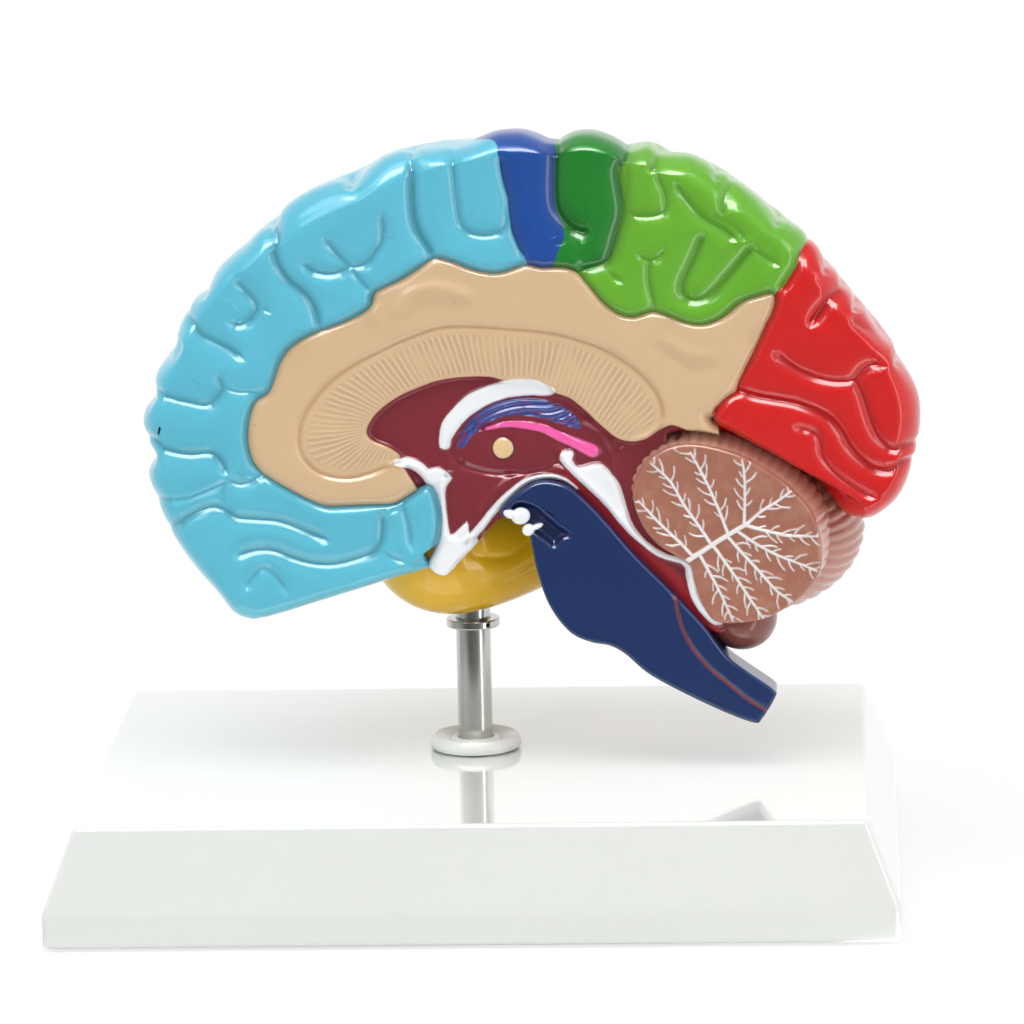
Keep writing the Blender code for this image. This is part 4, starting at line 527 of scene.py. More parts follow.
class BrainSettings(bpy.types.PropertyGroup):
    """Sizes in mm and paint colours of the casting."""

    groove_depth: amount("Groove depth", "Factor on the depth of every furrow", 1.35, min=0.0, max=2.0)
    side_depth: amount("Side depth", "Further factor on the domed side's furrows", 1.45, min=0.0, max=2.0)
    # Painted shade: how much darker the paint is drawn in a deep furrow and along the band's inner edge
    furrow_shade: amount("Pooling", "How much darker the paint is in a deep furrow", 0.42, min=0.0, max=1.0)
    lip_drop: amount("Lip drop", "How far in mm a painted zone's edge rolls down", 4.0, min=1.0, max=8.0)
    lip_width: amount("Lip width", "Width in mm of that rolled edge", 2.8, min=0.5, max=6.0)
    limbic_recess: amount("Limbic recess", "Depth in mm of the tan band", 0.9, min=0.0, max=4.0)
    ventricle_recess: amount("Ventricle recess", "Depth in mm behind the tan band", 1.9, min=0.0, max=6.0)
    rib_pitch: amount("Rib pitch", "Distance in mm between the callosum's ribs", 1.2, min=0.3, max=3.0)
    folia_pitch: amount("Folia pitch", "Distance in mm between cerebellar ridges", 2.6, min=1.0, max=6.0)
    roughness: amount("Roughness", "Roughness under the gloss", 0.36, min=0.0, max=1.0, subtype="FACTOR")
    gloss: amount("Paint gloss", "Weight of the clear gloss coat", 0.8, min=0.0, max=1.0, subtype="FACTOR")
    frontal: colour("Frontal paint", 92, 188, 212)
    motor: colour("Motor paint", 20, 74, 156)
    sensory: colour("Sensory paint", 24, 128, 38)
    parietal: colour("Parietal paint", 103, 174, 42)
    occipital: colour("Occipital paint", 208, 20, 20)
    temporal: colour("Temporal paint", 222, 172, 12)
    limbic: colour("Limbic paint", 214, 182, 143)
    maroon: colour("Maroon paint", 131, 40, 52)
    red: colour("Red band paint", 150, 28, 34)
    white: colour("White paint", 240, 243, 246)
    pink: colour("Pink paint", 250, 96, 172)
    cream: colour("Cream paint", 232, 198, 146)
    navy: colour("Navy paint", 18, 46, 98)
    brown: colour("Cerebellum paint", 166, 108, 88)


class StandSettings(bpy.types.PropertyGroup):
    """Sizes and finishes of the stand."""

    skirt: amount("Skirt", "Height of the tray's upright skirt", 6.6 * MM, unit="LENGTH")
    slope_sides: amount("Side slope", "How far each end slopes in to the top", 6.2 * MM, unit="LENGTH")
    slope_front: amount("Front slope", "How far front and back slope in to the top", 4.3 * MM, unit="LENGTH")
    wall: amount("Wall", "Thickness of the tray's wall", 2.4 * MM, unit="LENGTH")
    rib_height: amount("Rib height", "Height of the tray's top over its ribs' edge", 6.5 * MM, unit="LENGTH")
    boss_height: amount("Boss height", "Height of the tray over its boss's end", 9.0 * MM, unit="LENGTH")
    edge: amount("Edge radius", "Radius of the tray's edges", 0.9 * MM, unit="LENGTH")
    plastic: colour("Tray plastic", 228, 231, 227)
    steel: colour("Steel", 196, 197, 192)
    nylon: colour("Sleeve nylon", 226, 220, 204)
    rubber: colour("Foot rubber", 26, 26, 27)


class StudioSettings(bpy.types.PropertyGroup):
    """Camera, lamps and floor."""

    lens: amount("Lens", "Focal length in mm on a 36 mm sensor", 236.43, min=10.0, max=500.0)
    pitch: amount("Pitch", "How far the camera looks down", math.radians(11.344), unit="ROTATION")
    yaw: amount("Yaw", "How far the camera is turned to the left", math.radians(2.84), unit="ROTATION")
    roll: amount("Roll", "How far the camera leans", math.radians(-1.239), unit="ROTATION")
    floor_size: amount("Floor size", "Side of the floor", 12.0, unit="LENGTH")
    key_power: amount("Key light", "Power in watts of the softbox overhead", 9.5, min=0.0, max=500.0)
    fill_power: amount("Fill light", "Power in watts of each softbox at the sides", 1.6, min=0.0, max=500.0)
    ambient: amount("Room light", "Strength of the room's even light", 0.62, min=0.0, max=3.0)
    window: amount("Window", "Strength of the panel that glossy paint mirrors", 12.0, min=0.0, max=50.0)
    ground: colour("Floor", 250, 250, 250)


def curve_stretch(a, b, c, d, count):
    """Points of the Catmull-Rom curve from b up to, but without, c, whose neighbours are a and d:
    (2b + (c - a)t + (2a - 5b + 4c - d)t^2 + (3b - a - 3c + d)t^3) / 2."""
    t = np.linspace(0.0, 1.0, count, endpoint=False)[:, None]
    bend = (2 * a - 5 * b + 4 * c - d) * t**2 + (3 * b - a - 3 * c + d) * t**3
    return 0.5 * (2 * b + (c - a) * t + bend)


def smooth_path(points, closed=False, step=1.0):
    """Catmull-Rom curve through the points, sampled about every step."""
    p = np.asarray(points, float)
    padded = np.vstack([p[-1:], p, p[:2]]) if closed else np.vstack([p[:1], p, p[-1:]])
    pieces = []
    for a, b, c, d in zip(padded, padded[1:], padded[2:], padded[3:]):
        pieces.append(curve_stretch(a, b, c, d, max(2, int(np.ceil(np.linalg.norm(c - b) / step)))))
    pieces.append(padded[1:2] if closed else p[-1:])
    return np.vstack(pieces)


def lengths_along(path):
    return np.concatenate([[0.0], np.cumsum(np.linalg.norm(np.diff(path, axis=0), axis=1))])


def resample(path, count, endpoint=False):
    """The path's points at equal distances along it."""
    along = lengths_along(path)
    wanted = np.linspace(0.0, along[-1], count, endpoint=endpoint)
    return np.stack([np.interp(wanted, along, path[:, k]) for k in range(path.shape[1])], axis=1)


def between(points, first, last, count):
    """Points at equal distances on the closed smooth curve, from point first up to, but without, last."""
    p = np.asarray(points, float)
    size = len(p)
    pieces = []
    for k in range(first, last):
        four = (p[(k + shift) % size] for shift in (-1, 0, 1, 2))
        pieces.append(curve_stretch(*four, 24))
    pieces.append(p[last % size][None])
    return resample(np.vstack(pieces), count)


def outward_normals(loop):
    """Unit normals of a clockwise loop, pointing away from what it encloses."""
    ahead = np.roll(loop, -1, axis=0) - np.roll(loop, 1, axis=0)
    ahead /= np.linalg.norm(ahead, axis=1)[:, None]
    return np.stack([-ahead[:, 1], ahead[:, 0]], axis=1)


def path_distance(right, up, path, reach=1e9):
    """Distance of points to the nearest stretch of a path, and how far along the path that stretch is.

    For a stretch from a to b the foot of point p is a + clamp((p - a).(b - a) / |b - a|^2, 0, 1) (b - a).
    Points further than reach keep the distance reach.
    """
    low, high = path.min(axis=0) - reach, path.max(axis=0) + reach
    near = (right > low[0]) & (right < high[0]) & (up > low[1]) & (up < high[1])
    x, y = right[near], up[near]
    best, where = np.full(x.shape, float(reach)), np.zeros(x.shape)
    along = lengths_along(path)
    for start, end, passed in zip(path, path[1:], along):
        run = end - start
        length = max(float(np.hypot(*run)), 1e-9)
        t = np.clip(((x - start[0]) * run[0] + (y - start[1]) * run[1]) / length**2, 0.0, 1.0)
        gap = np.hypot(x - start[0] - t * run[0], y - start[1] - t * run[1])
        closer = gap < best
        best = np.where(closer, gap, best)
        where = np.where(closer, passed + t * length, where)
    distance, place = np.full(right.shape, float(reach)), np.zeros(right.shape)
    distance[near], place[near] = best, where
    return distance, place


def inside_distance(right, up, outline, smooth=True):
    """Distance to a closed outline, positive inside, where a ray to one side crosses it at odd times."""
    path = smooth_path(outline, closed=True) if smooth else np.vstack([outline, outline[:1]])
    inside = np.zeros(right.shape, bool)
    for (x0, y0), (x1, y1) in zip(path, path[1:]):
        if y0 == y1:
            continue
        level = (up > min(y0, y1)) & (up <= max(y0, y1))
        inside ^= level & (right < x0 + (up - y0) * (x1 - x0) / (y1 - y0))
    return np.where(inside, 1.0, -1.0) * path_distance(right, up, path)[0]


def ease(value, start, end):
    """Smooth step 3t^2 - 2t^3 from 0 at start to 1 at end."""
    t = np.clip((value - start) / (end - start), 0.0, 1.0)
    return t * t * (3.0 - 2.0 * t)


def furrow_depth(right, up, furrows, bottom=0.28, wider=1.0):
    """Depth of all furrows. Each is the meeting line of two rounded lips, 1 - sqrt(1 - (1 - x/2w)^2), in a
    soft hollow, exp(-(x/2.8w)^2). Its bottom is rounded: x is sqrt(gap^2 + bottom^2).

    A furrow fades and narrows at its ends. Where furrows meet, the deeper one counts. Ridges have a negative
    depth and are added.
    """
    sunk, raised = np.zeros(right.shape), np.zeros(right.shape)
    for deep, half_width, points in furrows.values():
        path = smooth_path(points)
        gap, place = path_distance(right, up, path, reach=6.5 * half_width)
        gap = np.hypot(gap, bottom)
        total = lengths_along(path)[-1]
        from_end = np.minimum(place, total - place)
        fade = ease(from_end, -0.5, 2.5)
        width = wider * half_width * (0.5 + 0.5 * ease(from_end, 0.0, 5.0))
        lips = 1.0 - np.sqrt(1.0 - (1.0 - np.clip(gap / (2.0 * width), 0.0, 1.0)) ** 2)
        across = 0.75 * lips + 0.25 * np.exp(-((gap / (2.8 * width)) ** 2))
        if deep > 0:
            sunk = np.maximum(sunk, deep * fade * across)
        else:
            raised = np.minimum(raised, deep * fade * np.exp(-((gap / half_width) ** 2)))
    return sunk + raised


def lip(inside, drop, width):
    """Depth of an edge that rolls down like a quarter circle: drop (1 - sqrt(1 - (1 - q)^2)), where q goes
    from 0 at the overlap outside the edge to 1 at the rest of the width inside it."""
    q = np.clip((inside + LIP_OVERLAP) / width, 0.0, 1.0)
    return drop * (1.0 - np.sqrt(1.0 - (1.0 - q) ** 2))


def ripple(right, back, up, pitch):
    """Slow unevenness of a hand-worked surface: the mean of three sine waves in different directions."""
    k = 2 * math.pi / pitch
    first = np.sin(k * (0.9 * right + 0.3 * up) + 0.7)
    second = np.sin(k * (0.5 * up - 0.7 * right + 0.4 * back) + 2.1)
    third = np.sin(k * (0.8 * back + 0.5 * up) + 4.0)
    return (first + second + third) / 3.0


def in_metres(points):
    """World places in metres of (right, back, up) points in mm."""
    return points * MM + SEAT + np.array([0.0, -CUT_BEFORE_ROD * MM, 0.0])


def grid_normals(grid):
    """Unit normals of a grid of points, rings by places, that closes along its rings."""
    around = np.roll(grid, -1, axis=1) - np.roll(grid, 1, axis=1)
    onward = np.gradient(grid, axis=0)
    normals = np.cross(around, onward)
    return normals / np.maximum(np.linalg.norm(normals, axis=2), 1e-12)[..., None]


def front_normals(grid):
    """Normals of the cortex's grid, turned round if those of its flat face look backwards."""
    normals = grid_normals(grid)
    on_face = normals[4, grid.shape[1] // 3]
    return -normals if on_face[1] > 0.0 else normals


def piece_from_rings(name, rings, attributes=None, open_start=False, open_end=False, normals=None):
    """Mesh piece whose faces join each ring of a grid to the next, with a fan to the middle of each end ring.

    The faces are turned round if the volume they enclose, the sum of a.(b x c)/6, is negative. Points of a
    ring that lie on one another are merged, unless normals are given, which are then used for the shading.
    """
    count_rings, count = rings.shape[:2]
    points = rings.reshape(-1, 3)
    number = np.arange(count_rings * count).reshape(count_rings, count)
    beside = np.roll(number, -1, axis=1)
    quads = np.stack([number[:-1], beside[:-1], beside[1:], number[1:]], axis=-1).reshape(-1, 4)
    fans, middles, sources = [], [], []
    for ring, is_open, turned_round in ((0, open_start, True), (count_rings - 1, open_end, False)):
        if is_open:
            continue
        middle = np.full(count, len(points) + len(middles))
        pair = (beside[ring], number[ring]) if turned_round else (number[ring], beside[ring])
        fans.append(np.stack([*pair, middle], axis=-1))
        middles.append(rings[ring].mean(axis=0))
        sources.append(number[ring])
    points = np.vstack([points, *[m[None] for m in middles]])
    fans = np.vstack(fans) if fans else np.zeros((0, 3), int)
    corners = np.vstack([quads[:, [0, 1, 2]], quads[:, [0, 2, 3]], fans])
    a, b, c = (points[corners[:, k]] for k in range(3))
    if np.einsum("ij,ij->i", a, np.cross(b, c)).sum() < 0.0:
        quads, fans = quads[:, ::-1], fans[:, ::-1]
    mesh = bpy.data.meshes.new(name)
    mesh.from_pydata(points, [], quads.tolist() + fans.tolist())
    for key, values in (attributes or {}).items():
        flat = values.reshape(-1)
        flat = np.concatenate([flat, *[flat[source].mean(keepdims=True) for source in sources]])
        mesh.attributes.new(key, "FLOAT", "POINT").data.foreach_set("value", flat.astype(np.float32))
    if normals is None:
        merged = bmesh.new()
        merged.from_mesh(mesh)
        bmesh.ops.remove_doubles(merged, verts=merged.verts, dist=1e-7)
        merged.to_mesh(mesh)
        merged.free()
    mesh.shade_smooth()
    mesh.update()
    if normals is not None:
        flat = normals.reshape(-1, 3)
        ends = [flat[source].mean(axis=0)[None] for source in sources]
        mesh.normals_split_custom_set_from_vertices(np.vstack([flat, *ends]))
    piece = bpy.data.objects.new(name, mesh)
    bpy.context.scene.collection.objects.link(piece)
    return piece


def solid_box(name):
    """Middle (x, y), half sizes (x, y) and lowest and highest z of a solid's box in the frame."""
    low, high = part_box(name)
    middle = ((low.x + high.x) / 2, (low.y + high.y) / 2)
    return middle, ((high.x - low.x) / 2, (high.y - low.y) / 2), (low.z, high.z)


def joined(name, pieces):
    """One piece made of several, which keep their own shells."""
    with bpy.context.temp_override(active_object=pieces[0], selected_editable_objects=pieces):
        bpy.ops.object.join()
    pieces[0].name = name
    pieces[0].data.name = name
    return pieces[0]


def dress(piece, material, body, slot, *replaced):
    """Gives a piece its material and its body, and hides the solids that it stands for. The slot is not used.
    """
    piece.data.materials.clear()
    piece.data.materials.append(material)
    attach(piece, body)
    if replaced:
        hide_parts(*replaced)
    return piece


def dress_brain(piece, material):
    """Dresses a piece as painted vinyl that is part of the brain's casting."""
    return dress(piece, material, "brain", "painted_pvc", "brain_casting")


class Signal:
    """A shader value that takes part in Python arithmetic: each operator adds a Math node."""

    def __init__(self, shader, socket):
        self.shader, self.socket = shader, socket

    def math(self, operation, *others):
        values = dict(enumerate((self, *others)))
        return self.shader.node("ShaderNodeMath", {"operation": operation}, values)[0]

    def __add__(self, other):
        return self.math("ADD", other)

    def __sub__(self, other):
        return self.math("SUBTRACT", other)

    def __rsub__(self, other):
        return self.math("MULTIPLY", -1.0).math("ADD", other)

    def __mul__(self, other):
        return self.math("MULTIPLY", other)

    def __truediv__(self, other):
        return self.math("DIVIDE", other)

    __radd__ = __add__
    __rmul__ = __mul__

    def clamped(self):
        return self.math("MAXIMUM", 0.0).math("MINIMUM", 1.0)

    def rise(self, low, high):
        """0 below low, 1 above high and a straight line between."""
        return ((self - low) / (high - low)).clamped()


class Shader:
    """Material, or the room's light, whose nodes all come from one method."""

    def __init__(self, name, owner=None):
        self.material = owner or bpy.data.materials.new(name)
        self.material.use_nodes = True
        self.tree = self.material.node_tree
        self.surface = self.tree.nodes["Background" if owner else "Principled BSDF"]

    def node(self, kind, settings=None, values=None):
        """Adds a node, sets it up, fills its sockets by name or number and returns its outputs."""
        made = self.tree.nodes.new(kind)
        for key, value in (settings or {}).items():
            setattr(made, key, value)
        for key, value in (values or {}).items():
            self.fill(made.inputs[key], value)
        return [Signal(self, output) for output in made.outputs]

    def fill(self, socket, value):
        if isinstance(value, Signal):
            self.tree.links.new(value.socket, socket)
        elif hasattr(value, "__len__") and len(value) == 3 and socket.type == "RGBA":
            socket.default_value = (*value, 1.0)
        else:
            socket.default_value = value

    def place(self):
        return self.node("ShaderNodeTexCoord")[3]

    def attribute(self, name):
        return self.node("ShaderNodeAttribute", {"attribute_name": name})[2]

    def noise(self, scale, detail=2.0, vector=None):
        values = {"Vector": vector or self.place(), "Scale": scale, "Detail": detail}
        return self.node("ShaderNodeTexNoise", None, values)[0]

    def mix(self, factor, first, second):
        """Colour that goes from first to second as factor goes from 0 to 1."""
        values = {0: factor, 6: first, 7: second}
        return self.node("ShaderNodeMix", {"data_type": "RGBA"}, values)[2]

    def grey(self, level):
        return self.node("ShaderNodeCombineColor", None, {0: level, 1: level, 2: level})[0]

    def shade(self, colour, factor):
        """The colour times a grey factor."""
        settings = {"data_type": "RGBA", "blend_type": "MULTIPLY"}
        return self.node("ShaderNodeMix", settings, {0: 1.0, 6: colour, 7: self.grey(factor)})[2]

    def bump(self, height, strength, distance):
        values = {"Height": height, "Strength": strength, "Distance": distance}
        return self.node("ShaderNodeBump", None, values)[0]

    def finish(self, **sockets):
        """Sets the surface shader's sockets, whose names are written with underscores."""
        for name, value in sockets.items():
            self.fill(self.surface.inputs[name.replace("_", " ").title().replace("Ior", "IOR")], value)
        return self.material


def hand_edge(shader, signed, softness=0.12, wobble=0.25):
    """Mask of a hand-painted zone: 1 where the signed distance in mm, a little unsteady, is positive."""
    unsteady = signed + (shader.noise(700.0) - 0.5) * wobble
    return unsteady.rise(-softness, softness)


def paint(shader, colour, settings, height=None):
    """Glossy brush paint: slight unevenness of tone, a few dark specks and a soft texture under the gloss."""
    tone = shader.noise(60.0, 3.0) * 0.10 + 0.95
    specks = shader.noise(1500.0, 0.0).rise(0.88, 0.91) * 0.35
    coloured = shader.shade(colour, tone * (1.0 - specks))
    swell = shader.noise(330.0, 2.0) * 0.25 + shader.noise(1400.0, 1.0) * 0.05
    if height is not None:
        swell = swell + height
    normal = shader.bump(swell, 0.35, 0.3 * MM)
    return shader.finish(
        base_color=coloured, roughness=settings.roughness, coat_weight=settings.gloss, coat_roughness=0.07,
        normal=normal, specular_ior_level=0.25,
    )


def paint_border(right, back, up, borders):
    """Signed distance behind a paint border: right - f(up), f going from the face's to the side's curve."""
    on_face, on_side = (np.array(points).T for points in borders)
    flat = np.interp(up, *on_face)
    domed = np.interp(up, *on_side)
    share = ease(back, 1.0, 10.0)
    return right - (flat + (domed - flat) * share)


def ring_grid(rings):
    """Grid of (right, back, up) from rings that are given as points (right, up) and how far back they lie."""
    return np.stack([
        np.stack([flat[:, 0], np.broadcast_to(back, len(flat)), flat[:, 1]], axis=1) for flat, back in rings
    ])


def rolling_mean(values, reach):
    """Mean of each value of a closed row and its neighbours up to reach places away on both sides."""
    turned = (np.roll(values, shift, axis=0) for shift in range(-reach, reach + 1))
    return sum(turned) / (2 * reach + 1)


def rim_swell(outer, normal):
    """How far the rim swells out beyond the face's edge, so that it reaches its outline seen from the front.

    Along each normal n the swell is the distance s to the outline less w.n, where w is how far the rim's
    depth moves it in that view. Where no outline is near, it is RIM_SWELL_BELOW.
    """
    outline = smooth_path(RIM_OUTLINE)
    reached = np.full(len(outer), np.nan)
    for a, b in zip(outline, outline[1:]):
        run = b - a
        across = normal[:, 0] * run[1] - normal[:, 1] * run[0]
        across = np.where(abs(across) < 1e-9, 1e-9, across)
        offset = a - outer
        along = (offset[:, 0] * run[1] - offset[:, 1] * run[0]) / across
        share = (offset[:, 0] * normal[:, 1] - offset[:, 1] * normal[:, 0]) / across
        hit = (share >= 0.0) & (share <= 1.0) & (along > -3.0) & (along < 9.0)
        reached = np.where(hit, np.fmin(along, reached), reached)
    aside = RIM_DEPTH * (VIEW_CENTRE - outer[:, 0]) / VIEW_DISTANCE
    moved = aside * normal[:, 0] + VIEW_SHIFT * RIM_DEPTH * normal[:, 1]
    swell = np.where(np.isnan(reached), RIM_SWELL_BELOW, reached - moved)
    return rolling_mean(np.clip(swell, -1.0, 5.0), 2)


def cortex_rings():
    """Base surface of the cerebrum's outer band and dome, as rings of (right, back, up), with the number of
    rings up to the face's edge and up to the rim.

    From the inner edge the rings cross the flat face, go round a quarter ellipse to the rim, then shrink to
    the middle of the dome by the superellipse (1 - t^p)^(1/p), on which the rim's lumps fade out. On the way
    the outline is turned about the middle until its angle only falls, so that the dome has no fold under the
    occipital lobe. The rings lie deeper where the stem and the cerebellum hide them.
    """
    inner_points = LAMINA_LEFT + TAN_EDGE + HIDDEN_INNER
    ends = BAND_KEYS[1:] + [(len(inner_points), len(FACE_EDGE))]
    lengths = [np.linalg.norm(np.diff(between(FACE_EDGE, b0, b1, 9), axis=0), axis=1).sum() + a1 - a0
               for (a0, b0), (a1, b1) in zip(BAND_KEYS, ends)]
    inner, outer, hidden = [], [], []
    for (a0, b0), (a1, b1), length in zip(BAND_KEYS, ends, lengths):
        here = max(3, round(CORTEX_POINTS * length / sum(lengths)))
        inner.append(between(inner_points, a0, a1, here))
        outer.append(between(FACE_EDGE, b0, b1, here))
        hidden.append(np.full(here, float(a0 >= len(LAMINA_LEFT) + len(TAN_EDGE) - 1)))
    inner, outer, hidden = np.vstack(inner), np.vstack(outer), np.concatenate(hidden)
    front = HIDDEN_DEPTH * rolling_mean(hidden, 12)

    normal = outward_normals(outer)
    across = outer - inner
    length = np.linalg.norm(across, axis=1)
    inner = inner - across / np.maximum(length, 1e-6)[:, None] * LIP_OVERLAP
    rounding = np.minimum(1.9, 0.25 * length)
    start = outer - normal * rounding[:, None]
    rings = [(inner + (start - inner) * share, front) for share in np.linspace(0.0, 1.0, 12)[:-1] * 0.14]
    rings += [(inner + (start - inner) * share, front) for share in np.linspace(0.14, 1.0, 62)]
    face_end = len(rings)
    bulge = rim_swell(outer, normal)
    smooth_bulge = rolling_mean(bulge, 40)
    middle = np.array(DOME_MIDDLE)
    for angle in np.radians(np.linspace(4.0, 90.0, 24)):
        swing = start + normal * ((rounding + bulge) * math.sin(angle))[:, None]
        back = RIM_DEPTH * (1.0 - math.cos(angle))
        rings.append((swing, front * (1.0 - back / DOME_DEPTH) + back))
    place = outer - middle
    turn = np.minimum.accumulate(np.unwrap(np.arctan2(place[:, 1], place[:, 0])))
    turned = middle + np.linalg.norm(place, axis=1)[:, None] * np.stack([np.cos(turn), np.sin(turn)], axis=1)
    dome_backs = RIM_DEPTH + (DOME_DEPTH - RIM_DEPTH) * np.sin(np.linspace(0.0, 1.0, 112)[1:-1] * math.pi / 2)
    for back in dome_backs:
        lumps = smooth_bulge + (bulge - smooth_bulge) * (1.0 - ease(back, RIM_DEPTH, 3.0 * RIM_DEPTH))
        t = (back - RIM_DEPTH) / (DOME_DEPTH - RIM_DEPTH)
        around = outer + (turned - outer) * ease(back, RIM_DEPTH, 22.0)
        shrink = (1.0 - t**DOME_POWER) ** (1.0 / DOME_POWER)
        flat = middle + (around + normal * lumps[:, None] - middle) * shrink
        rings.append((flat, front * (1.0 - back / DOME_DEPTH) + back))
    return ring_grid(rings), face_end, len(rings) - len(dome_backs)


def make_cortex(settings):
    """Light blue, royal blue, green and red gyri: the outer band of the cut face, the rim and the domed side.

    They are three pieces that share the normals along their edges. The dome has a third as many points
    around. Its relief is level at its middle, and sinks towards the middle of the rim's plane.
    """
    base, face_end, rim_end = cortex_rings()
    right, back, up = np.moveaxis(base, 2, 0)
    normals = front_normals(base)
    near_face = 1.0 - ease(back, *SIDE_STARTS)
    bend_right = right + 0.9 * np.sin(up / 6.1 + back / 9.0) * (1.0 - near_face)
    bend_up = up + 0.9 * np.sin(right / 7.3 + 1.0) * (1.0 - near_face)
    depth = near_face * furrow_depth(right, up, FACE_FURROWS) * (1.0 - 0.45 * ease(back, 1.0, 6.0))
    creases = {str(k): (1.3, 1.5, points) for k, points in enumerate(RIM_CREASES)}
    on_rim = ease(back, 0.3, 5.0) * (1.0 - ease(back, *CREASES_END))
    depth = np.maximum(depth, on_rim * furrow_depth(right, up, creases))
    side = furrow_depth(bend_right, bend_up, SIDE_FURROWS, **SIDE_GROOVE)
    depth += (1.0 - near_face) * side * settings.side_depth
    from_middle = np.hypot(right - DOME_MIDDLE[0], up - DOME_MIDDLE[1])
    level = (1.0 - ease(from_middle, 1.2, 4.5)) * (1.0 - near_face)
    depth += (depth[-1].mean() - depth) * level
    outward = base - np.array([DOME_MIDDLE[0], RIM_DEPTH, DOME_MIDDLE[1]])
    outward /= np.linalg.norm(outward, axis=2)[..., None]
    normals += (outward - normals) * ease(back, *DOME_RELIEF_STARTS)[..., None]
    shade_depth = depth.copy()
    depth = depth * settings.groove_depth + 0.14 * ripple(right, back, up, 21.0)
    inner_edge = np.vstack([base[0][:, [0, 2]], base[0][:1, [0, 2]]])
    from_edge = path_distance(right, up, inner_edge, reach=4.0)[0] - LIP_OVERLAP
    on_face = 1.0 - ease(back - base[0, :, 1][None], 0.2, 1.2)
    depth += on_face * lip(from_edge, settings.lip_drop, settings.lip_width)
    shape = base - normals * depth[..., None]
    shape[..., 2] -= VIEW_SHIFT * depth * on_face
    from_chip = path_distance(right, up, np.array(PAINT_CHIP), reach=3.0)[0]
    attributes = {}
    for key, borders in PAINT_BORDERS.items():
        attributes[f"{key}_edge"] = paint_border(bend_right, back, bend_up, borders)
    attributes["temporal_edge"] = np.minimum(inside_distance(bend_right, bend_up, TEMPORAL_ZONE), back - 12.0)
    attributes["chip"] = np.minimum(0.3 - from_chip, 5.0 - back)
    # Painted shade: furrow depth, and a band along the inner edge where the tan field's lip shades the gyri,
    # drive darker paint
    attributes["shade_depth"] = np.maximum(shade_depth, 1.5 * on_face * (1.0 - ease(from_edge, 0.0, 1.7)))
    normals = front_normals(shape)

    shader = Shader("gyri_paint")
    tint = settings.frontal
    for key in ("motor", "sensory", "parietal", "occipital", "temporal"):
        mask = hand_edge(shader, shader.attribute(f"{key}_edge"))
        tint = shader.mix(mask, tint, getattr(settings, key))
    # Painted shade: the paint is darkened in deep furrows and along the inner edge
    tint = shader.shade(tint, 1.0 - shader.attribute("shade_depth").rise(0.5, 1.5) * settings.furrow_shade)
    tint = shader.mix(hand_edge(shader, shader.attribute("chip"), 0.1, 0.2), tint, srgb(16, 20, 24))
    material = paint(shader, tint, settings)
    parts = {
        "cortex_face": (slice(None, face_end), slice(None)),
        "cortex_rim": (slice(face_end - 1, rim_end + RIM_RINGS + 1), slice(None)),
        "cortex_dome": (slice(rim_end + RIM_RINGS - 1, None), slice(None, None, DOME_THINNING)),
    }
    for name, cut in parts.items():
        some = {key: values[cut] for key, values in attributes.items()}
        open_end = name != "cortex_dome"
        piece = piece_from_rings(name, in_metres(shape[cut]), some, True, open_end, normals[cut])
        dress_brain(piece, material)


def star_rings(outline, centre, shares, count):
    """Rings that grow from a centre to an outline, each at a share of the way.

    Each ray from the centre goes to the furthest place where it crosses the outline: a ray d meets
    a + s(b - a) where s = (d x a)/(d x (a - b)).
    """
    middle = np.array(centre)
    place = smooth_path(outline, closed=True, step=0.3) - middle
    turn = np.linspace(-math.pi, math.pi, count, endpoint=False)
    rays = np.stack([np.cos(turn), np.sin(turn)], axis=1)
    reach = np.zeros(count)
    for a, b in zip(place, place[1:]):
        side_a, side_b = (rays[:, 0] * end[1] - rays[:, 1] * end[0] for end in (a, b))
        share = side_a / np.where(side_a == side_b, 1.0, side_a - side_b)
        away = rays @ a + share * (rays @ (b - a))
        reach = np.where((side_a * side_b <= 0.0) & (away > reach), away, reach)
    return middle + (rays * rolling_mean(reach, 2)[:, None]) * np.asarray(shares)[:, None, None]


def limbic_outline():
    """Edge of the inner field: the tan edge moved outwards by 2 mm, then on under the cerebellum and stem.

    Under the green gyri it skips a notch of the tan edge, so that each ray from the middle meets it once.
    """
    lamina = np.array(LAMINA_LEFT)
    tan = np.array(TAN_EDGE)
    path = np.vstack([lamina, tan])
    ahead = np.gradient(path, axis=0)
    ahead /= np.linalg.norm(ahead, axis=1)[:, None]
    outward = np.stack([-ahead[:, 1], ahead[:, 0]], axis=1)
    moved = path + outward * 2.0
    moved[:6] = path[:6] + outward[:6] * 0.9
    moved = np.delete(moved, slice(len(lamina) + 41, len(lamina) + 46), axis=0)
    hidden = [(50.5, 38.0), (50.5, 30.0), (50.5, 20.0), (52.0, 9.0), (51.0, 0.5), (44.5, 3.0), (36.0, 11.0),
              (28.0, 19.0), (22.0, 24.0), (14.0, 24.0), (7.6, 24.2)]
    free = [(5.0, 22.6), (2.4, 19.6), (0.2, 17.2), (-2.2, 14.9), (-3.4, 13.0), (-5.2, 12.8), (-7.0, 13.9)]
    return np.vstack([moved, hidden, free])


